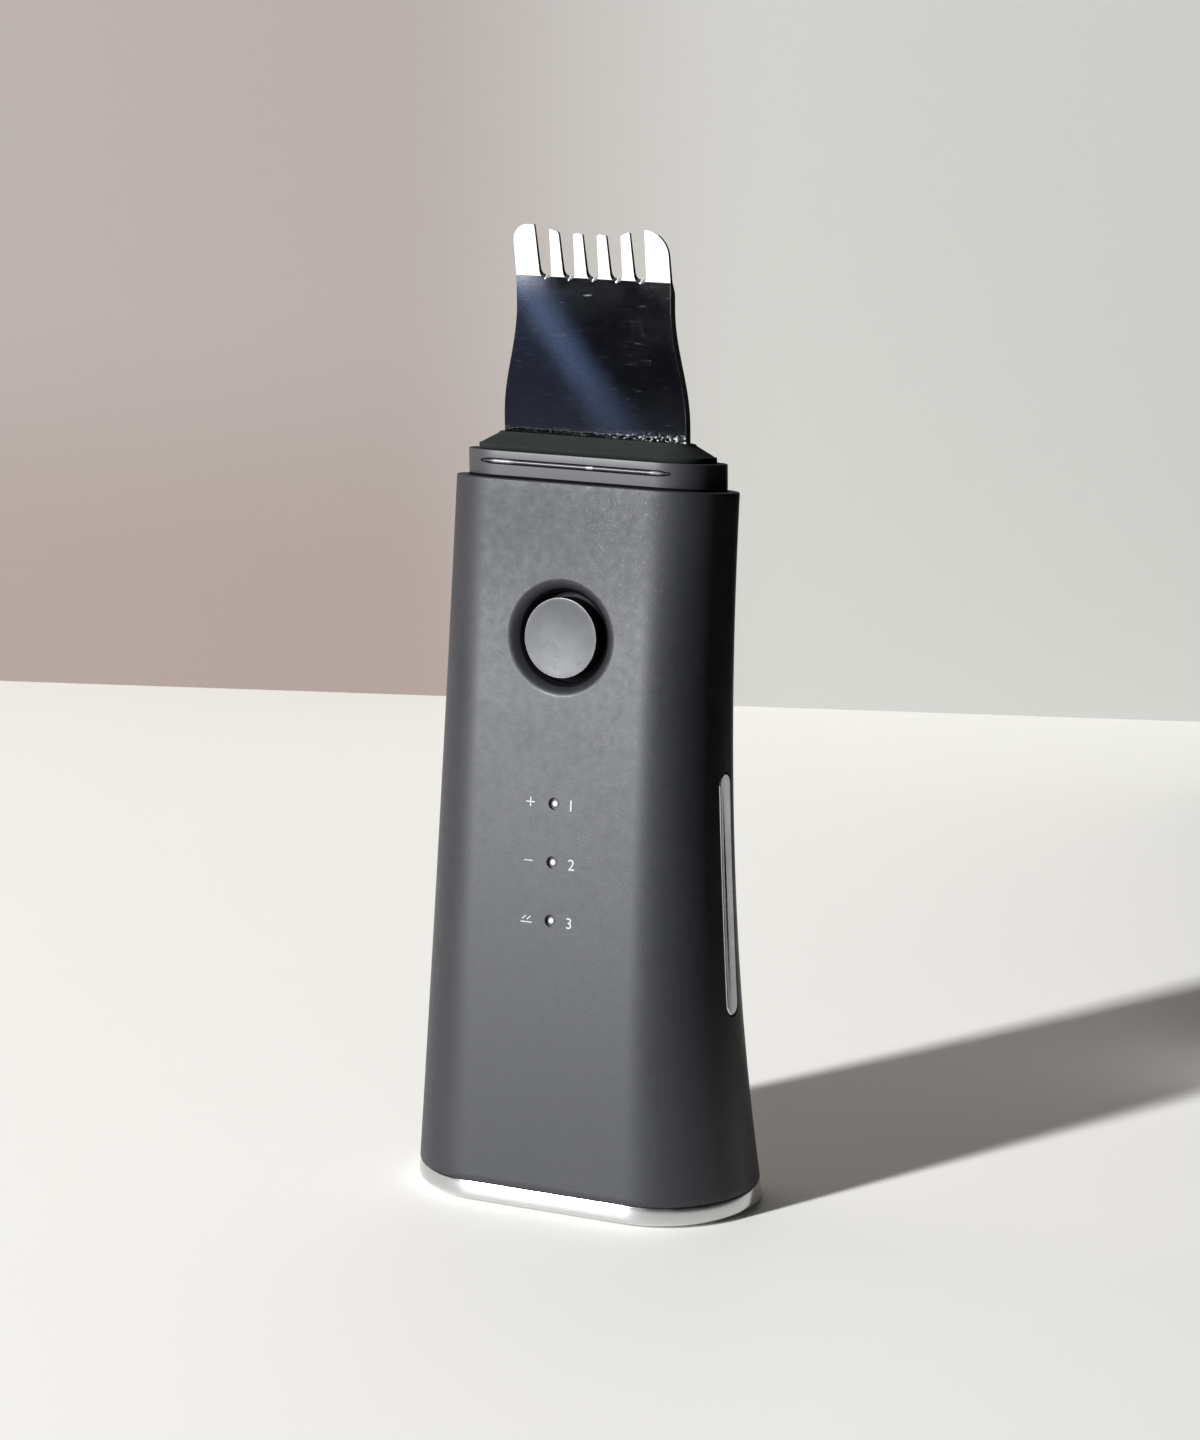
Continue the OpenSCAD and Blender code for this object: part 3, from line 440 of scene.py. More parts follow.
MAT = {
    "soft_touch_sleeve": soft_touch(),
    "satin_collar": satin_collar(),
    "bright_trim": metal("bright_trim", (0.62, 0.62, 0.63), 0.15, (1, 1, 8), 0.06, 0.06),
    "mirror_steel": blade_mat(),
    "dark_silicone": plastic("dark_silicone", (0.015, 0.0185, 0.017), 0.85, 0.03, 0.08, 0.08),
    "foot_rubber": plastic("foot_rubber", (0.02, 0.02, 0.02), 0.8, 0.05, 0.08, 0.3),
    "button_metal": metal("button_metal", (0.044, 0.0445, 0.0465), 0.4, (1, 1, 1), 0.08, 0.1),
    "black_gloss": plastic("black_gloss", (0.006, 0.006, 0.007), 0.42, 0.01, 0.05, 0.05),
    "black_plastic": plastic("black_plastic", (0.015, 0.015, 0.016), 0.5),
    # bore_black: black without specular, used as painted shade in the bore, the collar's grooves and on the boot's
    # top
    "bore_black": plastic("bore_black", (0.005, 0.005, 0.006), 0.9, spec=0.0),
    "switch_housing": plastic("switch_housing", (0.06, 0.06, 0.065), 0.45),
    "board_laminate": plastic("board_laminate", (0.015, 0.11, 0.05), 0.3, 0.02, 0.1),
    "chip_epoxy": plastic("chip_epoxy", (0.02, 0.02, 0.021), 0.6),
    "lamp_epoxy": plastic("lamp_epoxy", (0.8, 0.75, 0.45), 0.35),
    "clear_pipe": plastic("clear_pipe", (0.4, 0.41, 0.4), 0.3, 0.01, 0.04, 0.5),
    "screw_steel": metal("screw_steel", (0.5, 0.5, 0.5), 0.3),
    "socket_steel": metal("socket_steel", (0.55, 0.55, 0.56), 0.28, (1, 20, 1)),
    "electrode_metal": metal("electrode_metal", (0.8, 0.81, 0.82), 0.2, (1, 1, 0.1), 0.06, 0.05),
    "spring_brass": metal("spring_brass", (0.78, 0.58, 0.25), 0.25),
    "piezo_ceramic": metal("piezo_ceramic", (0.62, 0.6, 0.55), 0.5),
    "frame_plastic": plastic("frame_plastic", (0.55, 0.55, 0.53), 0.5),
    "clamp_plastic": plastic("clamp_plastic", (0.6, 0.6, 0.55), 0.5),
    "cushion_silicone": plastic("cushion_silicone", (0.5, 0.16, 0.06), 0.6),
    "button_edge": metal("button_edge", (0.11, 0.11, 0.115), 0.36, (1, 1, 1), 0.06, 0.05),
    "collar_bead": bead_mat(),
    # collar_top: dark, dull sheet that paints shade on the collar's flat top
    "collar_top": plastic("collar_top", (0.016, 0.016, 0.018), 0.8, spec=0.08),
    "ferrite": plastic("ferrite", (0.05, 0.05, 0.052), 0.6),
    "coil_copper": metal("coil_copper", (0.72, 0.32, 0.12), 0.3, (1, 1, 60)),
    "cell_foil": metal("cell_foil", (0.6, 0.61, 0.62), 0.35),
    "foam_tape": plastic("foam_tape", (0.15, 0.15, 0.15), 0.9, 0.1),
    "lead_red": plastic("lead_red", (0.45, 0.02, 0.015), 0.35),
    "lead_white": plastic("lead_white", (0.7, 0.7, 0.68), 0.35),
}

slots = {s["node"]: s["material_slot"] for s in frame["record"]["subparts"]}
for name, ob in frame["nodes"].items():
    ob.data.materials.clear()
    ob.data.materials.append(MAT[slots[name]])


def finish_piece(ob, slot, body, *nodes):
    """Gives a piece its body and hides the CAD nodes it stands for; the slot is not used."""
    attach(ob, body)
    if nodes:
        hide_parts(*nodes)
    return ob


# ---------------------------------------------------------------- sleeve
WALL = 1.8
RIM_R = 0.25
FOOT_Z = 3.6  # sleeve's lower edge
FOOT_ROUND = 0.28
INNER_TOP = 110.0  # upper end of the hollow below the neck
NECK_BORE = 7.1
ROWS = 120  # with 107 or 110 the exact boolean leaves the top lamp hole covered
STRIP_Z = (32.5, 71.1)  # ends of the side strips


def strip_plate(side, w, l, out, back, name, n=28, crown=0.0):
    """Round-ended plate that follows the side of the body; out and back are depths from it."""
    low, high = STRIP_Z
    mid = (low + high) / 2
    tilt = math.atan((body_y(high) - body_y(low)) / (high - low))
    r, half = w / 2, l / 2 - w / 2
    angles = [-math.pi / 2 + math.pi * i / n for i in range(n + 1)]
    outline = [(r * math.sin(t), half + r * math.cos(t)) for t in angles]
    steps = 24
    right = [(r, half - 2 * half * i / steps) for i in range(1, steps)]
    bottom = [(-a, -b) for a, b in outline]
    left = [(-a, -b) for a, b in right]
    loop = outline + right + bottom + left
    verts, faces = [], []
    rings = [(1.0, back), (1.0, out + 0.22), (0.97, out + 0.08), (0.90, out), (0.5, out - crown)]
    k = len(loop)
    for f, d in rings:
        for a, b in loop:
            aa = a * f
            end = math.copysign(half, b)
            bb = (end + (b - end) * f) if abs(b) > half else b
            z = mid + bb * math.cos(tilt) - aa * math.sin(tilt)
            y = body_y(mid) + aa * math.cos(tilt) + bb * math.sin(tilt)
            verts.append((side * (FLAT + body_r(mid + bb) - d), y, z))
    for j in range(len(rings) - 1):
        for i in range(k):
            faces.append((j * k + i, j * k + (i + 1) % k, (j + 1) * k + (i + 1) % k, (j + 1) * k + i))
    faces.append(tuple(range(k)))
    m = (len(rings) - 1) * k
    faces.append(tuple(m + i for i in range(k)))
    return new_obj(name, verts, faces, smooth=30)


def sleeve_levels(n):
    """Outer wall from the foot to the tilted rim, then the neck's bore and the inner wall down again."""
    lv = [(FOOT_Z, body_r(FOOT_Z) - 0.25, body_y(FOOT_Z)),
          (FOOT_Z + 0.08, body_r(FOOT_Z) - 0.08, body_y(FOOT_Z))]
    for i in range(ROWS + 1):
        z = FOOT_Z + FOOT_ROUND + (TOP - RIM_R - FOOT_Z - FOOT_ROUND) * i / ROWS
        lv.append(body_row(z, min(1, max(0, (z - TOP + 6.5) / 6)), 0, n))
    for s, c in QUARTERS:
        lv.append(body_row(TOP - RIM_R + RIM_R * s, 1, RIM_R - RIM_R * c, n))
    lv += [(TOP, 8.62, NECK_Y, 1), (TOP - 0.12, 8.45, NECK_Y, 1), (TOP - 0.4, 8.4, NECK_Y, 1),
           (SHELF_Z, 8.4, NECK_Y), (SHELF_Z, NECK_BORE, NECK_Y), (INNER_TOP, NECK_BORE, NECK_Y)]
    for i in range(41):
        z = INNER_TOP + (FOOT_Z - INNER_TOP) * i / 40
        lv.append((z, body_r(z) - WALL, body_y(z)))
    return lv


def make_sleeve():
    n = 44
    lv = sleeve_levels(n)
    v, f = stack(lv, n, loop=True)
    ob = new_obj("sleeve", v, f, MAT["soft_touch_sleeve"], smooth=0)
    v, f = turn([(7.0, -1.2), (9.5, -1.2), (9.5, -3.2), (7.0, -3.2), (7.0, -1.2)], 96)
    boss = new_obj("boss", v, f, matrix=FACE, smooth=0)
    cut(ob, [boss], "UNION")
    dish = [(0, -6), (7.3, -6), (7.3, -1.92), (7.48, -1.6), (7.66, -1.31), (7.86, -1.04), (8.07, -0.8),
            (8.28, -0.59), (8.5, -0.4), (8.68, -0.27), (8.84, -0.175), (9.0, -0.1), (9.16, -0.05),
            (9.32, -0.015), (9.46, 0.01), (9.62, 0.06), (12, 1.2), (0, 1.2)]
    v, f = turn(dish, 128)
    cutters = [new_obj("dish", v, f, matrix=FACE, smooth=0)]
    lamp = [(0, -4), (0.6, -4), (0.6, -0.52), (0.62, -0.5), (0.86, -0.5), (0.88, -0.46), (0.88, -0.1),
            (0.93, -0.02), (1.05, 0.02), (1.3, 0.3), (0, 0.3)]
    for z in LAMPS:
        v, f = turn(lamp, 40)
        # its own turn is meant to keep each cutter's edges off the rows of the wall
        spin = Matrix.Rotation(0.07 * z, 4, "Z")
        cutters.append(new_obj("lamp", v, f, matrix=at_face(z) @ spin, smooth=0))
    for side in (-1, 1):
        cutters.append(strip_plate(side, 4.1, 39.1, -3, 0.95, "groove"))
    port = Matrix.Translation((0, 10.2 * MM, 13.03 * MM)) @ Matrix.Rotation(-math.pi / 2, 4, "X") @ SCALE
    v, f = stack([(0, 1.88, 0), (6, 1.88, 0)], 24, half=2.84)
    cutters.append(new_obj("port", v, f, matrix=port, smooth=0))
    v, f = stack([(3.2, 3.13, 0), (3.4, 3.13, 0), (3.7, 3.2, 0), (6, 3.6, 0)], 24, half=2.84)
    cutters.append(new_obj("port_rim", v, f, matrix=port, smooth=0))
    cut(ob, cutters)
    return ob


def sleeve_normals(ob):
    """Smooth shading from the true surface, kept off the cut edges."""
    me = ob.data
    me.shade_smooth()
    me.set_sharp_from_angle(angle=math.radians(28))
    me.update()
    keep = [Vector(c.vector) for c in me.corner_normals]
    verts = me.vertices
    low = 3.95  # above the foot's rounding
    e = 0.05
    for p in me.polygons:
        n = p.normal
        for li in p.loop_indices:
            co = verts[me.loops[li].vertex_index].co * 1000
            z = co.z
            if z < low or z + drop(co.y) > TOP - RIM_R - 0.03:
                continue
            r, y = body_r(z), body_y(z)
            dx = abs(co.x) - FLAT
            dy = co.y - y
            if dx <= 0:
                d = abs(dy)
                radial = Vector((0, math.copysign(1, dy), 0))
            else:
                d = math.hypot(dx, dy)
                radial = Vector((math.copysign(dx, co.x), dy, 0)).normalized()
            if abs(d - r) > 0.004:
                continue
            slope_r = (body_r(z + e) - body_r(z - e)) / (2 * e)
            slope_y = (body_y(z + e) - body_y(z - e)) / (2 * e)
            true = (radial + Vector((0, 0, -slope_r - slope_y * radial.y))).normalized()
            if true.dot(n) > 0.97:
                keep[li] = true
    me.normals_split_custom_set([tuple(k) for k in keep])


sleeve = make_sleeve()
sleeve_normals(sleeve)
finish_piece(sleeve, "soft_touch_sleeve", "handle", "housing_sleeve")


# ---------------------------------------------------------------- collar and boot
def make_collar():
    r, e = COLLAR_R, COLLAR_EDGE
    lv = [(SHELF_Z, COLLAR_BORE, NECK_Y), (SHELF_Z, r - 0.6, NECK_Y), (COLLAR_FOOT, r - 0.6, NECK_Y, 1),
          (COLLAR_FOOT, r - 0.03, NECK_Y, 1), (TOP + 0.43, r, NECK_Y, 1), (COLLAR_TOP - e, r, NECK_Y, 1)]
    for s, c in QUARTERS:
        lv.append((COLLAR_TOP - e + e * s, r - e + e * c, NECK_Y, 1))
    lv += [(COLLAR_TOP, 5.6, NECK_Y, 1), (COLLAR_TOP - 0.1, COLLAR_BORE, NECK_Y, 1)]
    v, f = stack(lv, 44, loop=True)
    ob = new_obj("collar", v, f, MAT["satin_collar"], smooth=0)
    cut(ob, [rib("groove", [(0.5, -0.49), (0.5, 0.49), (-0.3, 0.49), (-0.3, -0.49)], 17.3)])
    ob.data.shade_smooth()
    ob.data.set_sharp_from_angle(angle=math.radians(35))
    return ob


def rib(name, prof, lim):
    """Bar of a given section (out from the wall, up) along the collar's front and back; its ends taper off."""
    r = COLLAR_R
    verts, faces = [], []
    m, n = len(prof), 60
    for sgn in (-1, 1):
        base = len(verts)
        for i in range(n + 1):
            x = -lim + 2 * lim * i / n
            over = max(0.0, abs(x) - FLAT)
            y = math.sqrt(max(0, r * r - over * over))
            k = max(0.1, min(1, (lim - abs(x)) / 2.5) ** 0.7)
            for out, up in prof:
                b = NECK_Y + sgn * (y - 0.3 + (0.3 + out) * k)
                verts.append((x, b, COLLAR_TOP - BEAD_DOWN - drop(b) + up * k))
        for i in range(n):
            for j in range(m):
                a, b = base + i * m, base + (i + 1) * m
                faces.append((a + j, a + (j + 1) % m, b + (j + 1) % m, b + j))
        faces.append(tuple(base + j for j in range(m)))
        faces.append(tuple(base + n * m + j for j in range(m)))
    return new_obj(name, verts, faces)


def make_bead():
    prof = [(-0.3 + 0.5 * c, 0.33 * s) for s, c in rounding(*range(-90, 91, 15))]
    ob = rib("collar_bead", prof, 16.9)
    ob.data.materials.append(MAT["collar_bead"])
    return ob


def make_foot_groove_shade():
    """Painted shade: a black, dull sheet lining the groove round the collar's foot."""
    r = COLLAR_R - 0.06
    low, high = 112.4, TOP + 0.42
    v, f = stack([(low, r - 0.5, NECK_Y), (low, r, NECK_Y), (high, r, NECK_Y, 1), (high, r - 0.5, NECK_Y, 1)],
                 44, loop=True)
    return new_obj("collar_foot_groove_shade", v, f, MAT["bore_black"], smooth=30)


def make_bead_groove_shade():
    """Painted shade: a black, dull sheet at the foot of the groove round the bead."""
    ob = rib("bead_groove_shade", [(-0.4, -0.52), (-0.12, -0.52), (-0.12, 0.52), (-0.4, 0.52)], 17.4)
    ob.data.materials.append(MAT["bore_black"])
    return ob


def make_boot():
    lip = COLLAR_TOP + 1.0
    top = BOOT_TOP
    r = 6.5
    lv = [(COLLAR_TOP - 3, 5.45), (COLLAR_TOP, 5.45), (COLLAR_TOP + 0.005, 6.35), (COLLAR_TOP + 0.12, r),
          (lip - 0.3, r)]
    for s, c in THIRDS:
        lv.append((lip - 0.3 + 0.3 * s, r - 0.3 + 0.3 * c))
    lv += [(lip + 0.03, r - 0.5), (lip + 0.2, r - 0.68)]
    for i in range(1, 9):
        t = i / 8
        lv.append((lip + 0.2 + (top - 0.3 - lip - 0.2) * t, r - 0.68 + (3.35 - r + 0.68) * t))
    for s, c in THIRDS:
        lv.append((top - 0.3 + 0.3 * s, 3.0 + 0.35 * c))
    v, f = stack([(z, q, NECK_Y, 1) for z, q in lv], 40)
    return new_obj("boot", v, f, MAT["dark_silicone"], smooth=50)


finish_piece(make_collar(), "satin_collar", "handle", "neck_collar")
finish_piece(make_bead(), "satin_collar", "handle", "neck_collar")
finish_piece(make_bead_groove_shade(), "satin_collar", "handle")
finish_piece(make_foot_groove_shade(), "satin_collar", "handle")
# painted shade: a dark, dull sheet on the collar's flat top, inside its bright edge
low, high = COLLAR_TOP - 0.2, COLLAR_TOP + 0.006
v, f = stack([(low, 6.3, NECK_Y, 1), (high, 6.3, NECK_Y, 1), (high, 8.0, NECK_Y, 1), (low, 8.0, NECK_Y, 1)],
             44, loop=True)
finish_piece(new_obj("collar_top", v, f, MAT["collar_top"], smooth=30), "satin_collar", "handle")
finish_piece(make_boot(), "dark_silicone", "handle", "blade_boot")
# painted shade: a black, dull sheet on the boot's top, round the blade
z = BOOT_TOP
v, f = stack([(z - 0.2, 2.7, NECK_Y, 1), (z + 0.01, 2.95, NECK_Y, 1), (z + 0.014, 2.8, NECK_Y, 1)], 40)
finish_piece(new_obj("boot_top", v, f, MAT["bore_black"], smooth=30), "dark_silicone", "handle")

# ---------------------------------------------------------------- blade
H = 155.0
TINE = 8.2
BEND = H - TINE
BLADE_Y = NECK_Y - 0.1
BLADE_T = 1.6
BLADE_W = 27.0
ROOT_W = 32.0
LEAN_TIP = 1.15
TIP_T = 0.5
ROOT_T = 0.75  # thickness at the foot of the tines
STEP = 1.8  # height of the slope behind it
LOBE_L = 2.8  # corner radii of the outer tines
LOBE_R = 4.0


def blade_half(z):
    """Half of the width, from the boot up to the straight part."""
    hi, lo = H - 12.5, BOOT_TOP + 1.9
    s = min(1, max(0, (hi - z) / (hi - lo)))
    return BLADE_W / 2 + (ROOT_W - BLADE_W) / 2 * (1 - math.cos(math.pi * s)) / 2


SLOT_X = [(i - 2) * 4.15 for i in range(5)]
SLOT_R = 1.05
SLOT_FLARE = 0.25
SLOT_TILT = math.radians(30)
SLOT_TALL = SLOT_R / math.cos(SLOT_TILT)
SLOT_Z = BEND + SLOT_TALL - 0.35
SOFT = 0.34  # rounding of the inner tines' tips


def slot_half(z):
    return SLOT_R + SLOT_FLARE * max(0, z - SLOT_Z) / (H - SLOT_Z)


def slot_floor(x, c):
    return SLOT_Z - SLOT_TALL * math.sqrt(max(0, 1 - ((x - c) / SLOT_R) ** 2))


def scoop(x, z):
    """True on the round end of a slot, which rises towards the back."""
    return any(abs(x - c) < SLOT_R + 0.01 and slot_floor(x, c) - 0.01 < z < SLOT_Z + 0.01 for c in SLOT_X)


def top_z(x):
    """Height of the tips: rounded outer tines, and a shallow dip between them."""
    lobe_l, lobe_r = LOBE_L - BLADE_W / 2, BLADE_W / 2 - LOBE_R
    if x < lobe_l:
        return H - LOBE_L + math.sqrt(max(0, LOBE_L ** 2 - (x - lobe_l) ** 2))
    if x > lobe_r:
        return H - LOBE_R + math.sqrt(max(0, LOBE_R ** 2 - (x - lobe_r) ** 2))
    return H - 1.15 * min(1, max(0, (8.3 - abs(x)) / 3))


def grid(bm, rows):
    """Quads over rows of (x, z) points of equal length."""
    vs = [[bm.verts.new((x, 0, z)) for x, z in r] for r in rows]
    for a, b in zip(vs, vs[1:]):
        for i in range(len(a) - 1):
            bm.faces.new((a[i], a[i + 1], b[i + 1], b[i]))


def blade_face(bm):
    """Front face of the blade, built as strips between the slots."""
    low = COLLAR_TOP - 3
    split = BEND - STEP
    edges = [-BLADE_W / 2]
    for c in SLOT_X:
        edges += [c - SLOT_R, c + SLOT_R]
    edges.append(BLADE_W / 2)
    meet = SLOT_R * math.sqrt(1 - ((SLOT_Z - BEND) / SLOT_TALL) ** 2)
    angles = [math.pi * i / 18 for i in range(19)] + [math.acos(meet / SLOT_R), math.acos(-meet / SLOT_R)]
    cols = []
    for k in range(11):
        a, b = edges[k], edges[k + 1]
        if k % 2:
            cols.append(sorted((a + b) / 2 - SLOT_R * math.cos(t) for t in angles))
        else:
            n = 24 if k in (0, 10) else 8
            cols.append([a + (b - a) * (1 - math.cos(math.pi * i / n)) / 2 for i in range(n + 1)])
    flat = [x for c in cols for x in c[:-1]] + [BLADE_W / 2]
    zs = [low + (142.5 - low) * i / 40 for i in range(41)] + [143.5, split]
    grid(bm, [[(x / (BLADE_W / 2) * blade_half(z), z) for x in flat] for z in zs])

    for k in range(11):
        if k % 2:
            c = SLOT_X[k // 2]
            ends_at = [(x, slot_floor(x, c)) for x in cols[k]]
            grid(bm, [[(x, split) for x, z in ends_at], [(x, min(z, BEND)) for x, z in ends_at], ends_at])
            continue
        grid(bm, [[(x, z) for x in cols[k]] for z in (split, BEND, SLOT_Z)])
        left = SLOT_X[k // 2 - 1] if k else None
        right = SLOT_X[k // 2] if k < 10 else None
        a, b = edges[k], edges[k + 1]
        up = []
        for x in cols[k]:
            t = (x - a) / (b - a)
            tops = (a if left is None else left + slot_half(H), b if right is None else right - slot_half(H))
            xt = tops[0] + (tops[1] - tops[0]) * t
            d = min(xt - tops[0] if left is not None else 9, tops[1] - xt if right is not None else 9)
            soft = SOFT - math.sqrt(SOFT ** 2 - (SOFT - d) ** 2) if d < SOFT else 0
            up.append((x, xt, top_z(xt) - soft))
        rows = []
        for j in range(7):
            heights = [SLOT_Z + (zt - SLOT_Z) * j / 6 for _, _, zt in up]
            rows.append([(x + (xt - x) * (z - SLOT_Z) / (H - SLOT_Z), z) for (x, xt, _), z in zip(up, heights)])
        grid(bm, rows)


def front_y(z):
    y = BLADE_Y - BLADE_T / 2
    return y - LEAN_TIP * max(0, z - BEND) / TINE


def back_y(z):
    y = BLADE_Y + BLADE_T / 2
    root = BLADE_Y - BLADE_T / 2 + ROOT_T
    if z < BEND - STEP:
        return y
    if z < BEND:
        return y + (root - y) * (z - BEND + STEP) / STEP
    return front_y(z) + ROOT_T + (TIP_T - ROOT_T) * (z - BEND) / TINE


def make_blade():
    bm = bmesh.new()
    blade_face(bm)
    bmesh.ops.remove_doubles(bm, verts=bm.verts, dist=2e-3)
    front = bm.faces[:]
    ret = bmesh.ops.extrude_face_region(bm, geom=front)
    back = {g for g in ret["geom"] if isinstance(g, bmesh.types.BMVert)}
    for v in bm.verts:
        x, z = v.co.x, v.co.z
        if v not in back:
            v.co.y = front_y(z)
            continue
        if scoop(x, z):
            z += math.tan(SLOT_TILT) * (back_y(z) - front_y(z))
        v.co.y, v.co.z = back_y(z), z
    bmesh.ops.recalc_face_normals(bm, faces=bm.faces)
    for v in bm.verts:
        v.co *= MM
    me = bpy.data.meshes.new("blade_steel")
    bm.to_mesh(me)
    bm.free()
    me.materials.append(MAT["mirror_steel"])
    ob = bpy.data.objects.new("blade_steel", me)
    bpy.context.scene.collection.objects.link(ob)
    bev = ob.modifiers.new("edge", "BEVEL")
    bev.width = 0.0001
    bev.segments = 2
    bev.limit_method = "ANGLE"
    bev.angle_limit = math.radians(50)
    bev.harden_normals = True
    me.shade_smooth()
    me.set_sharp_from_angle(angle=math.radians(5))
    return ob


finish_piece(make_blade(), "mirror_steel", "handle", "blade")


# ---------------------------------------------------------------- base ring
def make_ring():
    top = 3.58  # just under the sleeve's lower edge
    lift = 0.3  # the foot pad stands out below
    foot_bore, shelf_bore, shelf = 13.05, 12.6, 1.1
    r0 = body_r(0) - 0.15 - 0.8
    r1 = body_r(1) - 0.05
    rt = body_r(3.6) - 0.05
    lv = [(lift, foot_bore, 0), (lift, r0 - 0.1, 0), (lift + 0.03, r0, 0)]
    for i in range(1, 9):
        t = i / 8
        lv.append((lift + 0.03 + 0.75 * t, r0 + (r1 - r0) * (1 - (1 - t) ** 1.6), 0))
    lv += [(lift + 1.1, r1 + 0.005, body_y(1.4)), (2.2, (r1 + rt) / 2 + 0.02, body_y(2.2)),
           (top - 0.25, rt, body_y(3.4)), (top - 0.08, rt - 0.07, body_y(3.6)), (top, rt - 0.25, body_y(3.6)),
           (top, shelf_bore, -0.3), (shelf, shelf_bore, 0), (shelf, foot_bore, 0)]
    v, f = stack(lv, 44, loop=True)
    return new_obj("base_ring", v, f, MAT["bright_trim"], smooth=40)


finish_piece(make_ring(), "bright_trim", "handle", "base_plate")

# ---------------------------------------------------------------- electrodes
for side, word in ((-1, "left"), (1, "right")):
    ob = strip_plate(side, 3.6, 38.6, 0.05, 0.9, "strip_" + word, crown=0.02)
    ob.data.materials.append(MAT["electrode_metal"])
    finish_piece(ob, "electrode_metal", "handle", "electrode_" + word)

# ---------------------------------------------------------------- button
CAP_R = 6.3
HOLLOW_R = 6.12  # edge of the cap's shallow hollow
cap = [(0, -0.12)]
for i in range(1, 13):
    r = HOLLOW_R * i / 12
    cap.append((r, 0.1 - 0.22 * (1 - (r / HOLLOW_R) ** 2)))
cap += [(6.18, 0.1), (6.24, 0.085), (6.28, 0.045), (CAP_R, -0.02), (CAP_R, -0.5), (0, -0.5)]
v, f = turn(cap, 128)
finish_piece(new_obj("cap_disc", v, f, MAT["button_metal"], FACE, 24), "button_metal", "button", "button_cap")
# thin, brighter edge of the cap
edge = [(6.19, 0.0), (6.19, 0.112), (6.22, 0.118), (6.27, 0.1), (6.305, 0.06), (6.31, -0.12),
        (6.19, -0.12), (6.19, 0.0)]
v, f = turn(edge, 128)
finish_piece(new_obj("cap_edge", v, f, MAT["button_edge"], FACE, 60), "button_metal", "button")
carrier = [(0, -0.52), (6.1, -0.52), (6.16, -0.56), (6.17, -1.0)]
carrier += [(6.17 + 0.08 * s, -1.08 + 0.08 * c) for s, c in rounding(22, 45, 67, 90)]
carrier += [(6.25, -3.2), (6.35, -3.25), (8.6, -3.25), (8.6, -4.05), (0, -4.05)]
v, f = turn(carrier, 128)
finish_piece(new_obj("cap_carrier", v, f, MAT["black_gloss"], FACE, 30), "black_gloss", "button", "button_carrier")

# painted shade: a black, dull ring over the bore and the foot of the dish
bore_shade = [(7.28, -3.18), (7.12, -3.18), (7.12, -2.0), (7.18, -1.88), (7.44, -1.51), (7.63, -1.22),
         (7.74, -1.1), (7.78, -1.12), (7.72, -1.4), (7.45, -2.0), (7.28, -3.18)]
v, f = turn(bore_shade, 128)
finish_piece(new_obj("bore_shade_ring", v, f, MAT["bore_black"], FACE, 30), "black_plastic", "handle")

# ---------------------------------------------------------------- light pipes
PIPE_R = 0.5
prof = [(0, -0.36)] + [(PIPE_R * s, -0.5 + 0.14 * c) for s, c in rounding(*range(15, 91, 15))]
prof += [(PIPE_R, -5.2), (0, -5.2)]
for z, word in zip(LAMPS, ("top", "middle", "bottom")):
    v, f = turn(prof, 40)
    ob = new_obj("pipe_" + word, v, f, MAT["clear_pipe"], at_face(z))
    finish_piece(ob, "clear_pipe", "handle", "light_pipe_" + word)

# ---------------------------------------------------------------- printed marks
INK = ink()
PROUD = 0.012


def on_face(points, faces, name, x0, z0, k=1.0):
    """Lays a flat (x, up) drawing on the front face, a hair proud of it."""
    verts = []
    for x, up in points:
        z = z0 + up * k * math.cos(LEAN)
        verts.append((x0 + x * k, face_y(z) - PROUD, z))
    ob = new_obj(name, verts, faces, INK, smooth=0)
    return finish_piece(ob, "lamp_epoxy", "handle")


def bar(x0, y0, x1, y1, w):
    """Corners of a straight stroke of width w."""
    d = math.hypot(x1 - x0, y1 - y0)
    nx, ny = -(y1 - y0) / d * w / 2, (x1 - x0) / d * w / 2
    return [(x0 + nx, y0 + ny), (x0 - nx, y0 - ny), (x1 - nx, y1 - ny), (x1 + nx, y1 + ny)]


def bars(items, w):
    """Points and faces of several strokes."""
    pts, faces = [], []
    for it in items:
        q = bar(*it, w)
        faces.append(tuple(range(len(pts), len(pts) + 4)))
        pts += q
    return pts, faces


p, f = bars([(-0.75, 0, 0.75, 0), (0, 0.11, 0, 0.75), (0, -0.75, 0, -0.11)], 0.19)
on_face(p, f, "mark_plus", -4.1, LAMPS[0])
p, f = bars([(-0.75, 0, 0.75, 0)], 0.16)
on_face(p, f, "mark_minus", -4.1, LAMPS[1])
p, f = bars([(-1.0, -0.55, 1.0, -0.55), (-0.75, -0.1, -0.1, 0.45), (0.1, -0.1, 0.75, 0.45)], 0.17)
on_face(p, f, "mark_strokes", -4.2, LAMPS[2])


def digit_mesh(text, name, x0, z0, h):
    """A plain digit of height h, its left edge at x0."""
    cu = bpy.data.curves.new(name, "FONT")
    cu.body = text
    cu.size = 1.0
    tmp = bpy.data.objects.new(name, cu)
    bpy.context.scene.collection.objects.link(tmp)
    bpy.context.view_layer.update()
    me = bpy.data.meshes.new_from_object(tmp.evaluated_get(bpy.context.evaluated_depsgraph_get()))
    pts = [(v.co.x, v.co.y) for v in me.vertices]
    faces = [tuple(p.vertices) for p in me.polygons]
    bpy.data.objects.remove(tmp)
    bpy.data.curves.remove(cu)
    bpy.data.meshes.remove(me)
    lo = min(b for a, b in pts)
    hi = max(b for a, b in pts)
    le = min(a for a, b in pts)
    k = h / (hi - lo)
    on_face([((a - le) * k, (b - lo) * k - h / 2) for a, b in pts], faces, name, x0, z0)


for z, word in zip(LAMPS, "123"):
    digit_mesh(word, "mark_" + word, 2.9, z, 1.75)


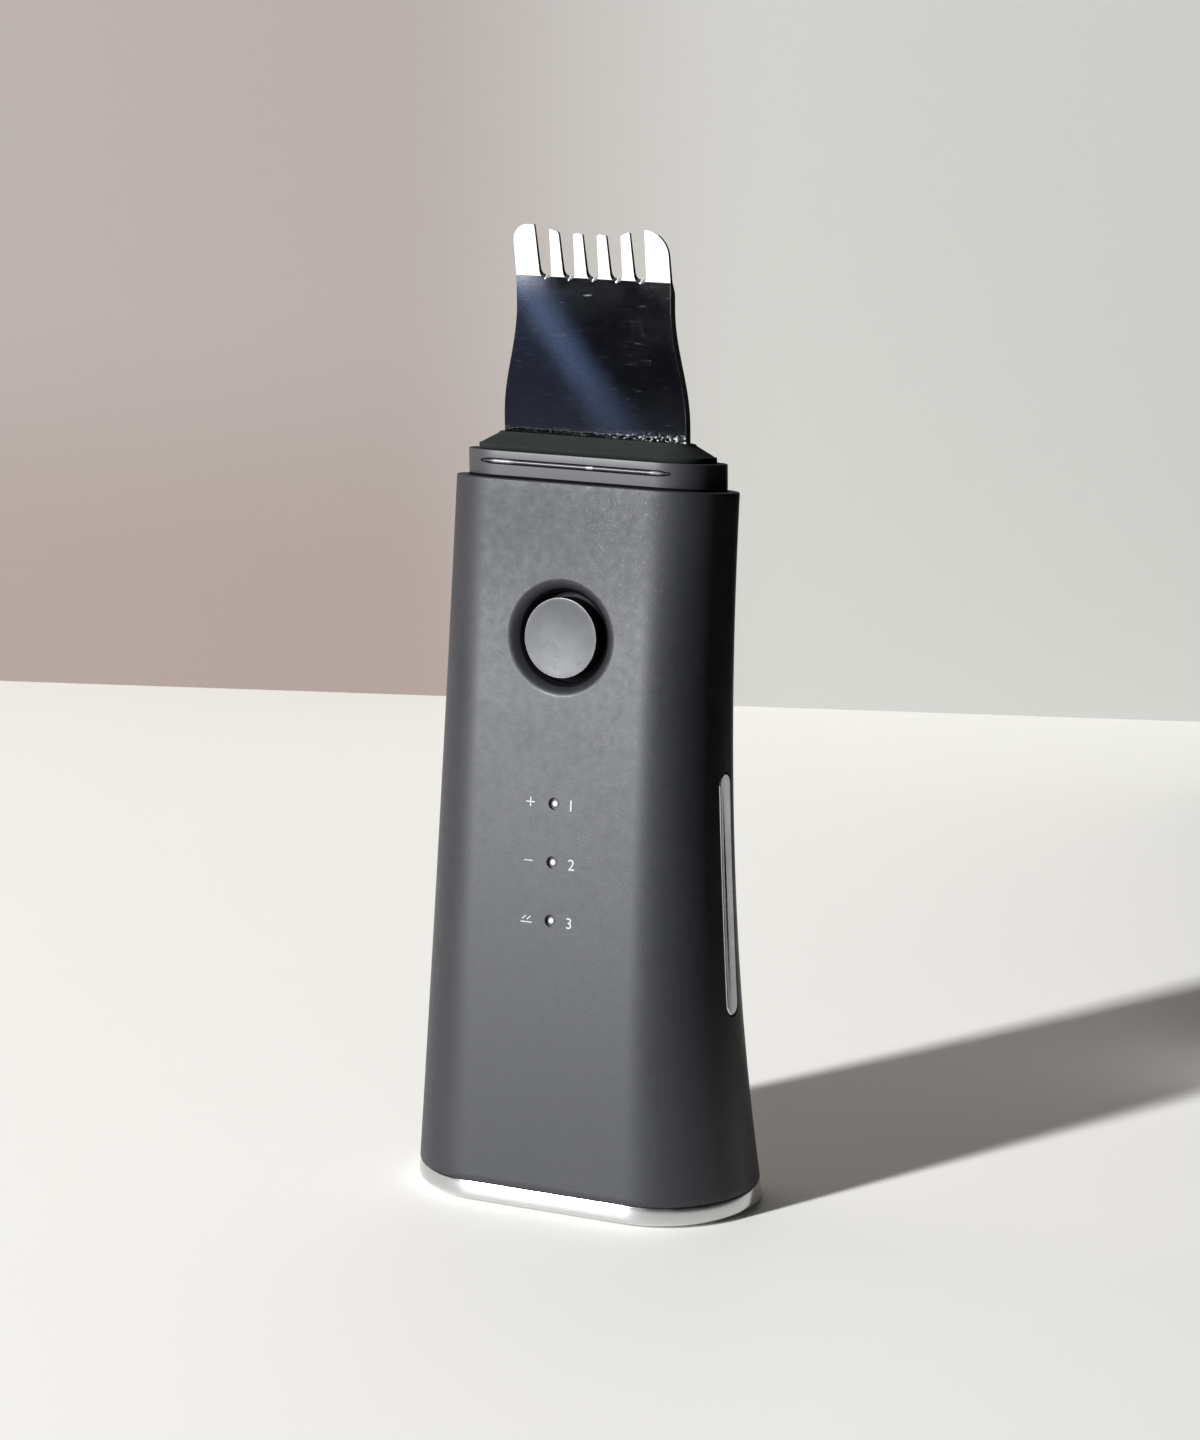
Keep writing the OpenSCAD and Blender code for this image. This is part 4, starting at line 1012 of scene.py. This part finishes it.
# ---------------------------------------------------------------- stage: floor, backdrop, flags
def stage_mat(name, rough, color, far=None, low=None):
    """Plain matt paper; the wall carries painted shade: darker and warmer on the left, most of all near the floor.
    """
    m = Mat(name, color, rough, spec=0.2)
    base = color
    if far:
        x, _, z = m.axes()
        # painted shade: the wall is darker and warmer near the floor and on the left than on the right
        base = m.mix(m.remap(z, 0.02, 0.1, 0, 1, True), low, color)
        base = m.mix(m.remap(x, -0.215, -0.115, 0, 1, True), base, far)
    m.color(m.mix(m.remap(m.noise(3, 3), 0.3, 0.7, 0, 0.015), base, (0, 0, 0)))
    m.rough(m.remap(m.noise(900, 3), 0.3, 0.7, rough - 0.05, rough + 0.05))
    m.bump(m.noise(1200, 3), 0.2, 0.00004)
    return m.m


def quad(name, pts, mat, seen=True):
    """Flat piece of the stage; with seen False only mirrors and light meet it."""
    me = bpy.data.meshes.new(name)
    me.from_pydata(pts, [], [tuple(range(len(pts)))])
    me.materials.append(mat)
    ob = bpy.data.objects.new(name, me)
    bpy.context.scene.collection.objects.link(ob)
    ob.visible_camera = seen
    return ob


def one_sided(m):
    """Lets a camera behind the wall look through it at the object."""
    nodes, links = m.node_tree.nodes, m.node_tree.links
    out = nodes["Material Output"].inputs["Surface"]
    front = out.links[0].from_socket
    both = nodes.new("ShaderNodeMixShader")
    links.new(nodes.new("ShaderNodeNewGeometry").outputs["Backfacing"], both.inputs[0])
    links.new(front, both.inputs[1])
    links.new(nodes.new("ShaderNodeBsdfTransparent").outputs[0], both.inputs[2])
    links.new(both.outputs[0], out)
    return m


# the photo's camera, solved from the object's outline
PHI = math.radians(27.542)
ELEV = math.radians(13.003)
ROLL = math.radians(-0.602)
DIST = 0.69619
AIM_RIGHT, AIM_UP = 0.002483, 0.077359
FOCAL_PX, FRAME_PX, SENSOR = 4405.4, 1440, 36
right = Vector((math.cos(PHI), math.sin(PHI), 0))
back = Vector((math.sin(PHI) * math.cos(ELEV), -math.cos(PHI) * math.cos(ELEV), math.sin(ELEV)))
deep = Vector((-math.sin(PHI), math.cos(PHI), 0))

floor_mat = stage_mat("floor", 0.6, (0.865, 0.848, 0.803))
# the wall's colours hold painted shade: darker and warmer on the left and near the floor
wall_mat = one_sided(stage_mat("wall", 0.8, (0.238, 0.208, 0.197), (0.344, 0.338, 0.319), (0.219, 0.178, 0.16)))


def rel(a, b, z=0.0):
    """Point placed as the camera sees it: a to the right, b away, z up."""
    p = right * a + deep * b
    return (p.x, p.y, z)


# the floor meets the wall on a slanting line, further away on the left
SPREAD, NEAR, TALL = 1.6, -1.2, 1.2
FAR_LEFT, FAR_RIGHT = (-SPREAD, 0.679), (SPREAD, 0.032)
quad("floor", [rel(-SPREAD, NEAR), rel(SPREAD, NEAR), rel(*FAR_RIGHT), rel(*FAR_LEFT)], floor_mat)
quad("wall", [rel(*FAR_LEFT), rel(*FAR_RIGHT), rel(*FAR_RIGHT, TALL), rel(*FAR_LEFT, TALL)], wall_mat)
# black flags along the right edge of the picture, outside it: the dark sleeve's side mirrors them
black = Mat("flag_black", (0.004, 0.004, 0.004), 0.9, spec=0.0).m
FLAG_TALL = 0.3
line = [(0.0, 0.3), (0.062, 0.145), (0.118, -0.02), (0.137, -0.075), (0.26, -0.35)]
for i, (p, q) in enumerate(zip(line, line[1:])):
    quad("flag_%d" % i, [(*p, 0), (*q, 0), (*q, FLAG_TALL), (*p, FLAG_TALL)], black, False)
# small pale card at their foot that glows faintly, a painted light: the metal strip mirrors it
fill = Mat("glowing_card", (0.3, 0.3, 0.3), 0.9, spec=0.0)
fill.b.inputs["Emission Color"].default_value = (0.97, 1.0, 1.0, 1)
fill.b.inputs["Emission Strength"].default_value = 0.34
p, q, tall = (0.078, 0.092), (0.0695, 0.118), 0.055
quad("glowing_card", [(*p, 0), (*q, 0), (*q, tall), (*p, tall)], fill.m, False)


def card_mat():
    """Dark card with a soft diagonal streak, seen only as a reflection in the blade."""
    m = Mat("card", (0.02, 0.02, 0.026), 0.9, spec=0.0)
    m.co = m.node("ShaderNodeTexCoord").outputs["UV"]
    u, v, _ = m.axes()
    wob = m.math("MULTIPLY", m.math("SUBTRACT", m.noise(5, 4), 0.5), 0.12)
    line = m.math("ADD", m.math("ADD", u, m.math("MULTIPLY", v, 0.62)), wob)
    band = m.math("MULTIPLY", m.remap(line, -0.38, -0.22, 0, 1, True), m.remap(line, -0.22, 0.0, 1, 0, True))
    left = m.remap(line, -0.3, 0.0, 1, 0, True)
    base = m.mix(left, (0.004, 0.0042, 0.005), (0.0125, 0.0145, 0.023))
    base = m.mix(m.remap(v, -0.2, -0.9, 0, 1, True), base, (0.023, 0.026, 0.034))
    grain = m.remap(m.noise(18, 6, 0.7), 0.35, 0.65, 0.65, 1)
    fade = m.remap(v, -1.0, 0.2, 0.15, 1, True)
    base = m.mix(m.math("MULTIPLY", band, m.math("MULTIPLY", grain, fade)), base, (0.064, 0.09, 0.16))
    glow = m.math("MULTIPLY", m.math("MULTIPLY", band, grain), m.remap(v, 0.3, 0.7, 0, 1, True))
    m.color(m.mix(glow, base, (0.93, 0.96, 1.0)))
    return m.m


def card():
    """The card lies on the floor, well outside the picture; its axes follow the blade's picture."""
    ll, lr = Vector((-0.386, -0.671, 0)), Vector((-0.32, -0.671, 0))
    ul, ur = Vector((-0.568, -1.014, 0)), Vector((-0.496, -1.014, 0))
    mid = (ll + lr + ul + ur) / 4 + Vector((0, 0, 0.001))
    ax, ay = (lr - ll + ur - ul) / 2, (ul - ll + ur - lr) / 2
    corners = [(-1.4, -1.25), (1.4, -1.25), (1.4, 0.9), (-1.4, 0.9)]
    me = bpy.data.meshes.new("card")
    me.from_pydata([tuple(mid + ax * u + ay * v) for u, v in corners], [], [(0, 1, 2, 3)])
    uv = me.uv_layers.new(name="plan")
    for i, c in enumerate(corners):
        uv.data[i].uv = c
    me.materials.append(card_mat())
    ob = bpy.data.objects.new("card", me)
    ob.visible_camera = False
    bpy.context.scene.collection.objects.link(ob)


card()

# ---------------------------------------------------------------- lights
world = bpy.data.worlds.new("world")
world.use_nodes = True
world.node_tree.nodes["Background"].inputs["Color"].default_value = (0.93, 0.96, 1.0, 1)
world.node_tree.nodes["Background"].inputs["Strength"].default_value = 0.08
bpy.context.scene.world = world


def area(name, loc, aim, size, power, color=(1, 1, 1)):
    li = bpy.data.lights.new(name, "AREA")
    li.shape = "RECTANGLE"
    li.size, li.size_y = size
    li.energy = power
    li.color = color
    ob = bpy.data.objects.new(name, li)
    ob.location = loc
    ob.rotation_euler = (Vector(aim) - Vector(loc)).to_track_quat("-Z", "Y").to_euler()
    bpy.context.scene.collection.objects.link(ob)
    return ob


# in the sun's place: a narrow, tall panel, low at the front left
SUN = math.radians(21)
SUN_DIST, SUN_POWER = 4, 385
key = Vector(rel(-0.813, -0.582)) * math.cos(SUN) * SUN_DIST + Vector((0, 0, SUN_DIST * math.sin(SUN)))
area("key", key, (0, 0, 0.06), (0.2, 2.4), SUN_POWER, (0.97, 0.985, 1.0))
# a weak, wide light from above
TOP_DIST, TOP_POWER = 1.5, 3
area("top", Vector((-0.45, 0.237, 0.861)) * TOP_DIST, (0, 0, 0.08), (0.9, 0.9), TOP_POWER, (0.97, 0.98, 1.0))

# ---------------------------------------------------------------- camera
cam = bpy.data.cameras.new("camera")
cam.sensor_width = SENSOR
cam.lens = FOCAL_PX * SENSOR / FRAME_PX
cam.clip_start = 0.05
cam.clip_end = 20
co = bpy.data.objects.new("camera", cam)
pos = right * AIM_RIGHT + Vector((0, 0, AIM_UP)) + back * DIST
up = back.cross(right)
rot = Matrix((right, up, back)).transposed()
roll = Matrix.Rotation(ROLL, 3, "Z")
co.matrix_world = Matrix.Translation(pos) @ (rot @ roll).to_4x4()
bpy.context.scene.collection.objects.link(co)
bpy.context.scene.camera = co
bpy.context.scene.view_settings.view_transform = "Standard"
